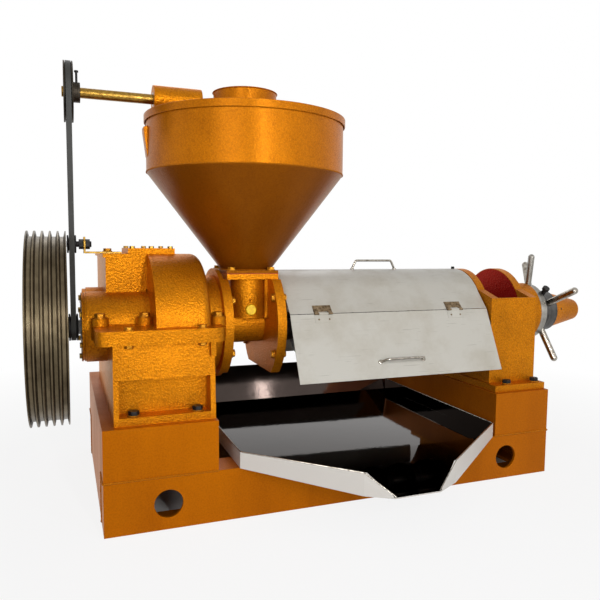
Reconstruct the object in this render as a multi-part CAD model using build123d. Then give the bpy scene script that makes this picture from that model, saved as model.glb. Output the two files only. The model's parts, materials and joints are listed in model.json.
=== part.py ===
from build123d import *
import os
from math import cos, pi, radians, sin, sqrt

# Screw oil press, all sizes in millimetres.
# X runs along the machine from drive pulley to cake outlet, Y to the rear, Z up.
# The origin lies under the middle of the base, on the floor.

quarter_turn = 90
full_turn = 360
half_share = 0.5
hex_sides = 6
whole_angle = 2 * pi
along_x = (1, 0, 0)
cut_over = 400
running_gap = 0.05
seat_gap = 0.3
overrun = 2

# Press axis, which the pulley, the worm shaft and the adjusting end share.
axis_y = -110
axis_z = 488

# Base frame.
base_half_length = 675
base_half_width = 370
beam_height = 136
beam_width = 90
beam_wall = 10
lifting_hole_radius = 36
lifting_hole_x = 518
lifting_hole_z = 66
tie_length = 60
middle_tie_half = 40
pedestal_top = 267
pedestal_wall = 10
gearbox_pedestal_end = -390
outlet_pedestal_start = 475
pedestal_lid = 12

# Rear splash panel between the pedestals.
splash_setback = 66
splash_lean = 28
splash_foot_y = base_half_width - splash_setback
splash_head_y = splash_foot_y + splash_lean
splash_top = 264
sheet = 3
splash_side_gap = 2

# Oil tray.
tray_x = 64
tray_half_width = 399
tray_rear_gap = 4
tray_overhang = 4
tray_rear_y = splash_foot_y - tray_rear_gap
tray_front_y = -base_half_width - tray_overhang
tray_wall_top = 180
tray_knee_half = 135
apron_run = 188
tray_knee_y = tray_front_y - apron_run
tray_knee_top = 157
tray_knee_bottom = 97
tray_lip_half = 64
lip_run = 36
tray_lip_y = tray_knee_y - lip_run
tray_lip_bottom = 94

# Gearbox casting.
foot_front_y = -347
foot_rear_y = 290
foot_top = 287
body_left_x = -646
body_right_x = -392
body_front_y = -335
body_rear_y = 284
case_wall = 14
flange_bottom = 467
flange_top = 503
flange_left_x = -685
flange_right_x = -361
flange_front_y = -352
flange_rear_y = 297
flange_corner = 30
pocket_top = 380
pocket_front_y = -300
pocket_rear_y = 258
pocket_cheek = 13
upper_cavity_front_y = -321
upper_cavity_rear_y = 272
lower_cavity_front_y = -286
lower_cavity_rear_y = 244
cavity_floor = 297
stub_height = 37
stub_depth = 50
stub_width = 13
left_chamber_end = -550
right_chamber_start = -521
right_chamber_end = -406
dome_left_x = -535
dome_right_x = -390
dome_radius = 200
dome_round = 24
dome_cavity_radius = 186
hump_left_x = -645
hump_right_x = -540
hump_front_y = -128
hump_rear_y = 290
hump_top = 677
hump_wall = 10
rim_left_x = -652
rim_right_x = -455
rim_rear_y = 90
rim_top = 688
rim_fill_z = 590
input_boss_radius = 96
input_boss_x = -698
input_cavity_radius = 82
lay_y = 105
lay_boss_radius = 94
lay_boss_x = -690
lay_cavity_radius = 80
lay_right_boss_radius = 60
lay_right_boss_x = -357
output_boss_radius = 138
output_boss_x = -335
output_ring_radius = 158
output_ring_x = -347
web_pass_radius = 60
boss_radius = 22
boss_rise = 20
inner_boss_radius = 15
front_bolt_y = -225
outlet_bolt_x = -366
outlet_bolt_y = -262
rear_bolt_y = 215
left_bolt_x = -667
middle_bolt_x = -554
rear_outlet_bolt_x = -375
rim_bolt_left_x = -606
rim_bolt_right_x = -424
rim_bolt_front_y = -337
rim_bolt_rear_y = 284
main_bolt_places = (
    (left_bolt_x, front_bolt_y),
    (middle_bolt_x, front_bolt_y),
    (outlet_bolt_x, outlet_bolt_y),
    (left_bolt_x, rear_bolt_y),
    (rear_outlet_bolt_x, rear_bolt_y),
)
rim_bolt_places = (
    (rim_bolt_left_x, rim_bolt_front_y),
    (rim_bolt_right_x, rim_bolt_front_y),
    (rim_bolt_right_x, rim_bolt_rear_y),
)
foot_bolt_left_x = -596
foot_bolt_right_x = -435

# Inspection cover on top of the gearbox.
inspection_left_x = -585
inspection_right_x = -457
inspection_front_y = -126
inspection_rear_y = 66
inspection_top = 703
inspection_rim = 12
inspection_margin = 15

# Shafts and bearings.
input_bearing_outer = 62
input_seat_radius = 35
input_end_radius = 20
input_pinion_seat = 38
inner_bearing_outer = 40
inner_journal_radius = 20
input_shaft_start = -820
input_shaft_step = -712
input_bearing_start = -672
input_bearing_end = -640
input_pinion_step = -628
input_pinion_start = -622
input_pinion_end = -566
input_shoulder_end = -556
input_shaft_end = -538
inner_bearing_width = 13
lay_shaft_start = -655
lay_shaft_end = -377
lay_journal_radius = 25
lay_middle_radius = 32
lay_bearing_outer = 45
lay_bearing_width = 23
lay_gear_start = -620
lay_gear_end = -565
lay_pinion_start = -512
lay_pinion_end = -412
lay_middle_start = -630
lay_middle_end = -404
bull_start = -507
bull_end = -417
bull_seat_radius = 48
bull_hub_radius = 78
bull_rim_radius = 142
bull_web_cut = 28
bull_seat_start = -518
output_seat_radius = 45
output_bearing_outer = 85
output_bearing_start = -388
output_bearing_end = -348
screw_start = -534
screw_core_radius = 35
screw_step_x = -322
screw_tail_step = 690
screw_tail_radius = 30
screw_end = 872

# Spur gear teeth.
gear_module = 5
input_pinion_teeth = 22
lay_gear_teeth = 64
lay_pinion_teeth = 18
bull_gear_teeth = 68
dedendum_share = 1.25
tip_share = 0.24
root_share = 0.66

# Input bearing cap and layshaft caps.
cap_face_x = -710
cap_radius = 94
cap_groove_radius = 91
cap_groove_start = -706
cap_groove_end = -703
lay_cap_radius = 90
lay_cap_face_x = -701
lay_right_cap_face_x = -347
lay_right_cap_radius = 57
cap_screw_count = 6
cap_screw_circle = 80
cap_screw_first = 30
lay_screw_count = 4
lay_screw_circle = 70
lay_screw_first = 45
lay_right_circle = 48

# Drive pulley, feeder drive pulley and their belt.
pulley_left_x = -841
pulley_right_x = -744
pulley_radius = 259.5
groove_count = 5
groove_pitch = 19
groove_margin = 10.5
groove_half_top = 7.5
groove_half_bottom = 4.5
groove_depth = 15
pulley_rim_inner = 228
pulley_hub_radius = 56
pulley_hub_left = -824
pulley_web_left = -808
pulley_web_right = -784
pulley_window_radius = 42
pulley_window_circle = 146
pulley_windows = 6
belt_x = -729.5
belt_half_width = 6.5
belt_depth = 8
belt_line_drive = 32
belt_line_top = 74
belt_line_idler = 20
small_pulley_half = 12
pulley_collar_radius = 28
drive_flange_radius = 36.6
top_flange_radius = 78
idler_flange_radius = 24.5
idler_y = -78
idler_z = 713
feeder_z = 1112
top_hub_radius = 26
top_hub_end = -700
feeder_shaft_radius = 13.5
feeder_shaft_start = -746
feeder_tube_left = -511
feeder_tube_right = -379
feeder_tube_radius = 38
feeder_bush_radius = 20
feeder_bush_length = 30

# Idler bracket.
idler_axle_radius = 8
idler_axle_start = -742.5
idler_axle_end = -678
bracket_x = -699
bracket_sheet = 5
bracket_half_width = 20
bracket_end_x = -600
bracket_top = 733
bracket_bolt_x = -636

# Feed throat.
throat_left_x = -335
throat_left_face = -322
throat_left_radius = 158
throat_barrel_radius = 62
throat_right_face = -203
throat_right_x = -177
throat_right_radius = 178
throat_flat_z = 350
throat_bore = 50.5
throat_neck_x = -250
throat_neck_half = 52
throat_neck_run = 36
throat_neck_bore = 42
throat_duct_run = 26
throat_neck_bottom = 506
throat_duct_bottom = 512
throat_wall_x = -318
throat_seal_start = -335
throat_seal_end = -325
flange_bolt_circle = 146
flange_bolt_count = 6
flange_bolt_first = 30
cage_bolt_circle = 160
fitting_x = -254
fitting_z = 557
fitting_radius = 4
fitting_rise = 9
port_left_x = -327
port_right_x = -177
port_front_y = -210
port_rear_y = -10
port_bottom = 618
port_top = 633
gasket_top = 634.5
neck_flange_top = 643
throat_rib_width = 10
throat_rib_front_y = -196
throat_rib_x = -203
plug_x = -256
plug_radius = 15
plug_y = -205
plug_z = 531
screw_seal_radius = 60

# Hopper.
hopper_x = -245
hopper_neck_radius = 74
hopper_radius = 284
hopper_knee_z = 918
hopper_top = 1071
hopper_wall = 3
head_room_share = 0.6
lid_radius = 289.5
lid_wall = 2.5
lid_skirt_bottom = 1054
lid_top = 1074
inlet_x = -286
inlet_y = -245
inlet_radius = 84
inlet_wall = 2.5
inlet_top = 1118
inlet_lip = 3.5
housing_radius = 52
housing_wall = 6
housing_top = 1134

# Feeder bevel gears and auger.
bevel_pinion_teeth = 12
bevel_gear_teeth = 18
bevel_pinion_radius = 12
bevel_gear_radius = 18
bevel_share = 0.6
bevel_module = bevel_pinion_radius / (bevel_pinion_teeth * half_share)
bevel_bore = 5
bevel_hub = 8
bevel_hub_radius = 9
bevel_slack = 0.5
auger_shaft_radius = 14
auger_neck_radius = 5
auger_shoulder = 1066
auger_bottom = 556
auger_flight_radius = 35
auger_flight_top = 716
auger_pitch = 64
auger_flight = 5
bevel_back_x = hopper_x - bevel_gear_radius
bevel_front_x = hopper_x - bevel_gear_radius * bevel_share
bevel_back_z = feeder_z - bevel_pinion_radius
bevel_front_z = feeder_z - bevel_pinion_radius * bevel_share
throat_front_y = axis_y - throat_neck_run - throat_neck_half

# Press cage and worm sections.
cage_start = throat_right_x
cage_end = 484
cage_rib_radius = 118
cage_shell_radius = 74
bar_outer_radius = 62
bar_inner_radius = 50.5
bar_count = 24
bar_share = 0.93
rib_count = 7
rib_width = 22
rail_outer = 140
rail_height = 20
clamp_radius = 8
clamp_offset = 128
end_ring_start = 484
end_ring_end = 508
end_ring_radius = 86
end_ring_bore_left = 54
end_ring_bore_right = 72
worm_radius = 49
worm_flight = 9
worm_sections = (
    (-312, -150, 38, 80),
    (-140, 20, 39, 76),
    (50, 170, 41, 55),
    (200, 310, 43, 50),
    (340, 440, 44, 46),
)
collar_gap = 1
collar_end = 470
collar_radius = 46

# Outlet column.
column_left_x = 497
column_right_x = 672
column_left_wall = 26
column_right_wall = 27
column_front_wall = 12
column_half_width = 195
column_foot_left = 485
column_foot_right = 675
column_foot_front = -352
column_foot_rear = 132
column_bolt_left_x = 545
column_bolt_right_x = 652
column_front_top = 555
column_arch_radius = 153
column_boss_radius = 100
column_boss_x = 782.7
column_boss_step = 700
column_boss_root = 118
column_mouth_radius = 90
arch_share = 0.81
sleeve_room = 8
sleeve_thread_radius = 58
cake_hole_left = 524
cake_hole_right = 636
cake_hole_front = -255
cake_hole_rear = 35

# Adjusting end.
ring_start = 783
ring_end = 810
ring_radius = 96
sleeve_end = 880
sleeve_radius = 71
sleeve_tail_start = 700
choke_start = 512
choke_knee = 556
choke_left_radius = 56
choke_right_radius = 84
choke_tube_end = 806
choke_tube_radius = 46
choke_bore = 36
tail_bush_start = 700
rod_radius = 12
rod_foot_x = 841
rod_tip_x = 862
rod_foot_radius = 58
rod_tip_radius = 193
rod_count = 4
rod_first_angle = 63.2
ring_rod_x = 796
ring_rod_angle = 97
ring_rod_tip = 206
ring_rod_foot = 84
ring_rod_share = 0.9
lock_bolt_angle = 131
lock_bolt_x = 822
lock_bolt_radius = 8
lock_bolt_foot = 62
lock_bolt_top = 104
lock_bolt_head = 12
nose_end = 1022
nose_root_radius = 66
nose_tip_radius = 34.5
nose_round = 12
nose_bore = 33
nose_bore_end = 905

# Cover over the press cage.
cover_left_x = -167
cover_right_x = 493
cover_radius = 153
cover_sheet = 2
cover_slope = 42
hinge_z = 523
flap_foot_offset = 258
flap_foot_z = 343
hinge_out = 3.6
hinge_width = 56
hinge_leaf = 28
hinge_left_x = -95
hinge_right_x = 345
knuckle_radius = 3
pin_radius = 1.6
leaf_sheet = 1.2
flap_gap = 1.5
hoop_depth = 10
hoop_length = 40
hoop_left_x = -165
hoop_foot = 40
wire_share = 0.3
wire_radius = 3.5
top_handle_left = 105
top_handle_right = 257
top_handle_rise = 26
flap_handle_left = 84
flap_handle_right = 226
flap_handle_z = 386
flap_handle_rise = 25

# Fasteners: across flats, head height and shank radius.
large_bolt = (24, 12, 8)
medium_bolt = (19, 9, 6)
small_bolt = (13, 6, 4)


def block(x0, x1, y0, y1, z0, z1):
    """Box between the two corners."""
    solid = Box(x1 - x0, y1 - y0, z1 - z0, align=(Align.MIN, Align.MIN, Align.MIN))
    return Pos(x0, y0, z0) * solid


def bar_x(radius, x0, x1, y, z):
    """Round bar along the machine."""
    solid = Cylinder(radius, x1 - x0, align=(Align.CENTER, Align.CENTER, Align.MIN))
    return Pos(x0, y, z) * Rot(0, quarter_turn, 0) * solid


def bar_y(radius, y0, y1, x, z):
    """Round bar across the machine."""
    solid = Cylinder(radius, y1 - y0, align=(Align.CENTER, Align.CENTER, Align.MIN))
    return Pos(x, y0, z) * Rot(-quarter_turn, 0, 0) * solid


def bar_z(radius, z0, z1, x, y):
    """Upright round bar."""
    solid = Cylinder(radius, z1 - z0, align=(Align.CENTER, Align.CENTER, Align.MIN))
    return Pos(x, y, z0) * solid


def turned_x(points, y=axis_y, z=axis_z):
    """Turned part from (x, radius) points, about a line along the machine."""
    face = make_face(Polyline(*points, close=True))
    return Pos(0, y, z) * revolve(face, Axis.X)


def turned_z(points, x, y):
    """Turned part from (radius, z) points, about an upright line."""
    face = Plane.XZ * make_face(Polyline(*points, close=True))
    return Pos(x, y, 0) * revolve(face, Axis.Z)


def prism_x(points, x0, x1):
    """Side outline of (y, z) points, drawn out along the machine."""
    face = Plane.YZ * make_face(Polyline(*points, close=True))
    return Pos(x0, 0, 0) * extrude(face, amount=x1 - x0)


def prism_z(points, z0, z1):
    """Plan outline of (x, y) points, drawn out upward."""
    face = make_face(Polyline(*points, close=True))
    return Pos(0, 0, z0) * extrude(face, amount=z1 - z0)


def ring_x(outer, inner, x0, x1, y=axis_y, z=axis_z):
    """Plain ring about a line along the machine."""
    return bar_x(outer, x0, x1, y, z) - bar_x(inner, x0 - overrun, x1 + overrun, y, z)


def bolt(size, reach):
    """Hexagon bolt, the head above the seat and the shank below it."""
    across, height, shank = size
    head = extrude(RegularPolygon(across * half_share, hex_sides, major_radius=False), height)
    return head + Pos(0, 0, -reach) * bar_z(shank, 0, reach, 0, 0)


def facing_right(solid, x, y, z):
    """The head points to the cake outlet."""
    return Pos(x, y, z) * Rot(0, quarter_turn, 0) * solid


def facing_left(solid, x, y, z):
    """The head points to the drive pulley."""
    return Pos(x, y, z) * Rot(0, -quarter_turn, 0) * solid


def group(solids):
    """Separate solids that share one node."""
    return Compound(children=list(solids))


def circle_points(count, radius, first, y=axis_y, z=axis_z):
    """Points (y, z) spread evenly on a circle."""
    angles = [radians(first + full_turn * i / count) for i in range(count)]
    return [(y + radius * cos(a), z + radius * sin(a)) for a in angles]


def tooth_outline(teeth, module, shift):
    """Closed outline of a spur gear as (y, z) points about its own centre."""
    pitch = whole_angle / teeth
    pitch_radius = teeth * module * half_share
    tip = pitch_radius + module
    root = pitch_radius - module * dedendum_share
    points = []
    for i in range(teeth):
        middle = (i + shift) * pitch
        low = pitch * root_share * half_share
        high = pitch * tip_share * half_share
        for radius, angle in ((root, -low), (tip, -high), (tip, high), (root, low)):
            points.append((radius * cos(middle + angle), radius * sin(middle + angle)))
    return points


def spur_gear(teeth, shift, x0, x1, bore, y):
    """Gear with straight teeth on a shaft along the machine."""
    solid = Pos(0, y, axis_z) * prism_x(tooth_outline(teeth, gear_module, shift), x0, x1)
    return solid - bar_x(bore, x0 - overrun, x1 + overrun, y, axis_z)


def helix_flight(radius, root, pitch, length, thickness):
    """Screw flight about the Z line, its foot let into the core."""
    bite = thickness * half_share * half_share
    path = Helix(pitch=pitch, height=length, radius=root)
    place = Plane(origin=(root, 0, 0), x_dir=(1, 0, 0), z_dir=(0, 1, 0))
    depth = radius - root + bite
    section = place * Pos(depth * half_share - bite, 0) * Rectangle(depth, thickness)
    return sweep(section, path=path, is_frenet=True)


def base_beam(side):
    """Long channel of the base, its open side inward, with two lifting holes."""
    outer = base_half_width * side
    inner = (base_half_width - beam_width) * side
    web = (base_half_width - beam_wall) * side
    y0, y1 = sorted((outer, inner))
    beam = block(-base_half_length, base_half_length, y0, y1, 0, beam_height)
    h0, h1 = sorted((web, inner - overrun * side))
    end = base_half_length - beam_wall
    beam -= block(-end, end, h0, h1, beam_wall, beam_height - beam_wall)
    for x in (-lifting_hole_x, lifting_hole_x):
        c0, c1 = sorted((outer + overrun * side, web - overrun * side))
        beam -= bar_y(lifting_hole_radius, c0, c1, x, lifting_hole_z)
    return beam


def base_cross_ties():
    """Three channels that hold the long beams apart."""
    reach = base_half_width - beam_width
    inside = beam_height - beam_wall
    end = base_half_length
    left = block(-end, -end + tie_length, -reach, reach, 0, beam_height)
    left -= block(-end + beam_wall, -end + tie_length + overrun, -reach - overrun,
                  reach + overrun, beam_wall, inside)
    right = mirror(left, about=Plane.YZ)
    middle = block(-middle_tie_half, middle_tie_half, -reach, reach, 0, beam_height)
    middle -= block(-middle_tie_half + beam_wall, middle_tie_half - beam_wall,
                    -reach - overrun, reach + overrun, beam_wall, beam_height + overrun)
    return group([left, middle, right])


def pedestal(x0, x1):
    """Open-bottomed box of plate that carries one casting."""
    box = block(x0, x1, -base_half_width, base_half_width, beam_height, pedestal_top)
    wall = pedestal_wall
    inner = base_half_width - wall
    return box - block(x0 + wall, x1 - wall, -inner, inner, beam_height - overrun,
                       pedestal_top - pedestal_lid)


def gearbox_pedestal():
    solid = pedestal(-base_half_length, gearbox_pedestal_end)
    for x, y in gearbox_foot_places():
        solid -= bar_z(large_bolt[2] + running_gap, beam_height, pedestal_top + overrun, x, y)
    return solid


def outlet_pedestal():
    solid = pedestal(outlet_pedestal_start, base_half_length)
    solid -= block(cake_hole_left, cake_hole_right, cake_hole_front, cake_hole_rear,
                   beam_height, pedestal_top + overrun)
    for x, y in column_foot_places():
        solid -= bar_z(large_bolt[2] + running_gap, beam_height, pedestal_top + overrun, x, y)
    return solid


def splash_panel():
    """Polished sheet that closes the rear between the pedestals."""
    points = [(splash_foot_y, beam_height), (splash_foot_y + sheet, beam_height),
              (splash_head_y + sheet, splash_top), (splash_head_y, splash_top)]
    return prism_x(points, gearbox_pedestal_end + splash_side_gap,
                   outlet_pedestal_start - splash_side_gap)


def oil_tray():
    """Tray with low side walls, drawn together to a spout over the base front."""
    half = tray_half_width
    knee = tray_knee_half
    lip = tray_lip_half
    plan = [(-half, tray_rear_y), (-half, tray_front_y), (-knee, tray_knee_y),
            (-lip, tray_lip_y), (lip, tray_lip_y), (knee, tray_knee_y),
            (half, tray_front_y), (half, tray_rear_y)]
    outline = prism_z([(tray_x + x, y) for x, y in plan], 0, tray_wall_top + overrun)
    lip_top = tray_lip_bottom + sheet
    side = [(tray_rear_y, beam_height), (tray_front_y, beam_height),
            (tray_knee_y, tray_knee_bottom), (tray_lip_y, tray_lip_bottom),
            (tray_lip_y, lip_top), (tray_knee_y, tray_knee_top),
            (tray_front_y, tray_wall_top), (tray_rear_y, tray_wall_top)]
    reach = tray_half_width + overrun
    outer = outline & prism_x(side, tray_x - reach, tray_x + reach)
    inner_plan = [(-half + sheet, tray_rear_y + overrun), (-half + sheet, tray_front_y + overrun),
                  (-knee + sheet, tray_knee_y + overrun), (-lip + sheet, tray_lip_y - overrun),
                  (lip - sheet, tray_lip_y - overrun), (knee - sheet, tray_knee_y + overrun),
                  (half - sheet, tray_front_y + overrun), (half - sheet, tray_rear_y + overrun)]
    hollow = prism_z([(tray_x + x, y) for x, y in inner_plan], 0, tray_wall_top + overrun)
    floor = [(tray_rear_y + overrun, beam_height + sheet), (tray_front_y, beam_height + sheet),
             (tray_knee_y, tray_knee_bottom + sheet), (tray_lip_y - overrun, lip_top),
             (tray_lip_y - overrun, tray_wall_top + overrun),
             (tray_rear_y + overrun, tray_wall_top + overrun)]
    return outer - (hollow & prism_x(floor, tray_x - reach, tray_x + reach))


def gearbox_foot_places():
    """Plan positions of the four holding-down bolts of the gearbox."""
    front = (pocket_front_y + foot_front_y) * half_share
    rear = (pocket_rear_y + foot_rear_y) * half_share
    return [(x, y) for y in (front, rear) for x in (foot_bolt_left_x, foot_bolt_right_x)]


def split_bolt_holes():
    """Holes of all the bolts that hold the two gearbox halves together."""
    solids = []
    for x, y in main_bolt_places:
        solids.append(bar_z(large_bolt[2] + running_gap, flange_bottom - overrun,
                            flange_top + boss_rise + overrun, x, y))
    for x, y in rim_bolt_places:
        solids.append(bar_z(medium_bolt[2] + running_gap, flange_bottom - overrun,
                            flange_top + overrun, x, y))
    return Part() + solids


def flange_plate(z0, z1):
    """Split flange, rounded at its corners and about the output bearing."""
    width = flange_right_x - flange_left_x
    depth = flange_rear_y - flange_front_y
    face = RectangleRounded(width, depth, flange_corner)
    place = Pos((flange_left_x + flange_right_x) * half_share,
                (flange_front_y + flange_rear_y) * half_share, z0)
    return place * extrude(face, amount=z1 - z0)


def dome(radius, x0, x1, rounding):
    """Drum about the press axis with a rounded right edge."""
    with_arc = [Line((x0, 0), (x0, radius)), Line((x0, radius), (x1 - rounding, radius)),
                RadiusArc((x1 - rounding, radius), (x1, radius - rounding), rounding),
                Line((x1, radius - rounding), (x1, 0)), Line((x1, 0), (x0, 0))]
    return Pos(0, axis_y, axis_z) * revolve(make_face(Curve() + with_arc), Axis.X)


def gearbox_hollow():
    """All the room inside the gearbox with its bearing bores."""
    left, right = body_left_x + case_wall, right_chamber_end
    solid = block(left, left_chamber_end, upper_cavity_front_y, upper_cavity_rear_y,
                  pocket_top + case_wall, axis_z)
    solid += block(left, left_chamber_end, lower_cavity_front_y, lower_cavity_rear_y,
                   cavity_floor, axis_z)
    solid += block(right_chamber_start, right, upper_cavity_front_y, upper_cavity_rear_y,
                   pocket_top + case_wall, axis_z)
    solid += block(right_chamber_start, right, lower_cavity_front_y, lower_cavity_rear_y,
                   cavity_floor, axis_z)
    solid += bar_x(input_cavity_radius, left, left_chamber_end, axis_y, axis_z)
    solid += bar_x(lay_cavity_radius, left, left_chamber_end, lay_y, axis_z)
    solid += bar_x(lay_cavity_radius, right_chamber_start, right, lay_y, axis_z)
    solid += bar_x(dome_cavity_radius, right_chamber_start, right, axis_y, axis_z)
    solid += block(left, left_chamber_end, hump_front_y + hump_wall, hump_rear_y - hump_wall,
                   axis_z, hump_top - hump_wall)
    solid += block(inspection_left_x + inspection_margin, inspection_right_x - inspection_margin,
                   inspection_front_y + inspection_margin, inspection_rear_y - inspection_margin,
                   hump_top - case_wall - case_wall, rim_top + overrun)
    gap = running_gap
    solid += bar_x(input_bearing_outer + gap, input_boss_x - overrun, left + overrun,
                   axis_y, axis_z)
    solid += bar_x(inner_bearing_outer + gap, left_chamber_end - overrun,
                   right_chamber_start + overrun, axis_y, axis_z)
    solid += bar_x(output_bearing_outer + gap, right - overrun, output_boss_x + overrun,
                   axis_y, axis_z)
    solid += bar_x(lay_bearing_outer + gap, lay_boss_x - overrun, left + overrun,
                   lay_y, axis_z)
    solid += bar_x(lay_bearing_outer + gap, right - overrun, lay_right_boss_x + overrun,
                   lay_y, axis_z)
    solid += bar_x(web_pass_radius, left_chamber_end - overrun, right_chamber_start + overrun,
                   lay_y, axis_z)
    return solid


def bearing_bosses():
    """Outer shape of the bearing housings on both ends."""
    solid = bar_x(input_boss_radius, input_boss_x, body_right_x, axis_y, axis_z)
    solid += bar_x(lay_boss_radius, lay_boss_x, body_right_x, lay_y, axis_z)
    solid += bar_x(output_boss_radius, dome_left_x, output_boss_x, axis_y, axis_z)
    solid += bar_x(output_ring_radius, output_ring_x, output_boss_x, axis_y, axis_z)
    solid += bar_x(lay_right_boss_radius, body_right_x, lay_right_boss_x, lay_y, axis_z)
    return solid


def gearbox_lower_body():
    """Lower half of the gearbox with foot, pockets and half bores."""
    side = [(foot_front_y, foot_top), (body_front_y, flange_bottom),
            (body_rear_y, flange_bottom), (foot_rear_y, foot_top)]
    solid = block(body_left_x, body_right_x, foot_front_y, foot_rear_y, pedestal_top, foot_top)
    solid += prism_x(side, body_left_x, body_right_x)
    solid += flange_plate(flange_bottom, axis_z)
    solid += block(body_left_x, body_right_x, body_front_y, body_rear_y, flange_bottom, axis_z)
    below = block(input_boss_x - overrun, output_boss_x + overrun, -cut_over, cut_over,
                  pedestal_top, axis_z)
    solid += bearing_bosses() & below
    for x in (body_left_x, body_right_x - stub_width):
        solid += block(x, x + stub_width, flange_front_y, flange_front_y + stub_depth,
                       flange_bottom - stub_height, flange_bottom)
    inner_left, inner_right = body_left_x + pocket_cheek, body_right_x - pocket_cheek
    solid -= block(inner_left, inner_right, foot_front_y - overrun, pocket_front_y,
                   foot_top, pocket_top)
    solid -= block(inner_left, inner_right, pocket_rear_y, foot_rear_y + overrun,
                   foot_top, pocket_top)
    solid -= gearbox_hollow()
    for x, y in main_bolt_places:
        solid += bar_z(boss_radius, flange_bottom, axis_z, x, y)
    solid += bar_z(inner_boss_radius, cavity_floor, axis_z, middle_bolt_x, front_bolt_y)
    solid -= split_bolt_holes()
    for x, y in gearbox_foot_places():
        solid -= bar_z(large_bolt[2] + running_gap, pedestal_top - overrun,
                       foot_top + overrun, x, y)
    return solid


def gearbox_upper_body():
    """Upper half of the gearbox with the gear drum, the hump and the bolt bosses."""
    above = block(input_boss_x - overrun, output_boss_x + overrun, -cut_over, cut_over,
                  axis_z, rim_top + overrun)
    solid = flange_plate(axis_z, flange_top)
    solid += bearing_bosses() & above
    solid += dome(dome_radius, dome_left_x, dome_right_x, dome_round) & above
    solid += block(hump_left_x, hump_right_x + overrun, hump_front_y, hump_rear_y,
                   axis_z, hump_top)
    solid += block(rim_left_x, hump_right_x, hump_front_y - overrun, hump_rear_y,
                   hump_top, rim_top)
    solid += block(hump_right_x - overrun, rim_right_x, hump_front_y - overrun, rim_rear_y,
                   hump_top, rim_top)
    solid += block(hump_right_x, rim_right_x, hump_front_y, rim_rear_y, rim_fill_z, hump_top)
    for x, y in main_bolt_places:
        solid += bar_z(boss_radius, axis_z, flange_top + boss_rise, x, y)
    solid -= gearbox_hollow()
    solid -= split_bolt_holes()
    return solid


def gearbox_bolts():
    """Bolts that clamp the gearbox halves, and the one of the idler bracket."""
    seat = flange_top + boss_rise
    tall = [Pos(x, y, seat) * bolt(large_bolt, seat - flange_bottom - overrun)
            for x, y in main_bolt_places]
    short = [Pos(x, y, flange_top) * bolt(medium_bolt, flange_top - flange_bottom + overrun)
             for x, y in rim_bolt_places]
    bracket_seat = rim_top + bracket_sheet
    short.append(Pos(bracket_bolt_x, idler_y, bracket_seat) * bolt(medium_bolt, bracket_sheet))
    return group(tall + short)


def foundation_bolts():
    """Bolts that hold the gearbox and the outlet column on their pedestals."""
    reach = foot_top - pedestal_top + pedestal_lid + overrun
    return group([Pos(x, y, foot_top) * bolt(large_bolt, reach)
                  for x, y in gearbox_foot_places() + column_foot_places()])


def inspection_places():
    xs = (inspection_left_x + inspection_rim, inspection_right_x - inspection_rim,
          (inspection_left_x + inspection_right_x) * half_share)
    ys = (inspection_front_y + inspection_rim * half_share,
          inspection_rear_y - inspection_rim * half_share)
    return [(x, y) for x in xs for y in ys]


def inspection_cover():
    """Flat cover over the gear window."""
    solid = block(inspection_left_x, inspection_right_x, inspection_front_y,
                  inspection_rear_y, rim_top, inspection_top)
    for x, y in inspection_places():
        solid -= bar_z(small_bolt[2] + running_gap, rim_top - overrun,
                       inspection_top + overrun, x, y)
    return solid


def input_cap():
    """Round cap with two turned lines, which holds the input bearing."""
    spigot = input_bearing_outer - running_gap
    bore = input_seat_radius + seat_gap
    points = [(cap_face_x, bore), (cap_face_x, cap_radius), (cap_groove_start, cap_radius),
              (cap_groove_start, cap_groove_radius), (cap_groove_end, cap_groove_radius),
              (cap_groove_end, cap_radius), (input_boss_x, cap_radius), (input_boss_x, spigot),
              (input_bearing_start - overrun, spigot), (input_bearing_start - overrun, bore)]
    return turned_x(points)


def screw_head():
    """Head of a small screw, its shank left inside the piece it holds."""
    across, height, shank = small_bolt
    return extrude(RegularPolygon(across * half_share, hex_sides, major_radius=False), height)


def small_screws():
    """Screws of the inspection cover and of the bearing caps."""
    reach = inspection_top - rim_top
    solids = [Pos(x, y, inspection_top) * bolt(small_bolt, reach) for x, y in inspection_places()]
    solids += [facing_left(screw_head(), cap_face_x, y, z)
               for y, z in circle_points(cap_screw_count, cap_screw_circle, cap_screw_first)]
    solids += [facing_left(screw_head(), lay_cap_face_x, y, z)
               for y, z in circle_points(lay_screw_count, lay_screw_circle, lay_screw_first, lay_y)]
    solids += [facing_right(screw_head(), lay_right_cap_face_x, y, z)
               for y, z in circle_points(lay_screw_count, lay_right_circle, lay_screw_first, lay_y)]
    return group(solids)


def bearing_caps():
    """The input cap and the closed caps at both ends of the layshaft."""
    spigot = lay_bearing_outer - running_gap
    left = turned_x([(lay_cap_face_x, 0), (lay_cap_face_x, lay_cap_radius),
                     (lay_boss_x, lay_cap_radius), (lay_boss_x, spigot),
                     (lay_shaft_start - overrun, spigot), (lay_shaft_start - overrun, 0)], lay_y)
    right = turned_x([(lay_right_cap_face_x, 0), (lay_right_cap_face_x, lay_right_cap_radius),
                      (lay_right_boss_x, lay_right_cap_radius), (lay_right_boss_x, spigot),
                      (lay_shaft_end + overrun, spigot), (lay_shaft_end + overrun, 0)], lay_y)
    return group([input_cap(), left, right])


def bearing(outer, inner, x0, x1, y=axis_y):
    return ring_x(outer, inner + running_gap, x0, x1, y)


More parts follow.
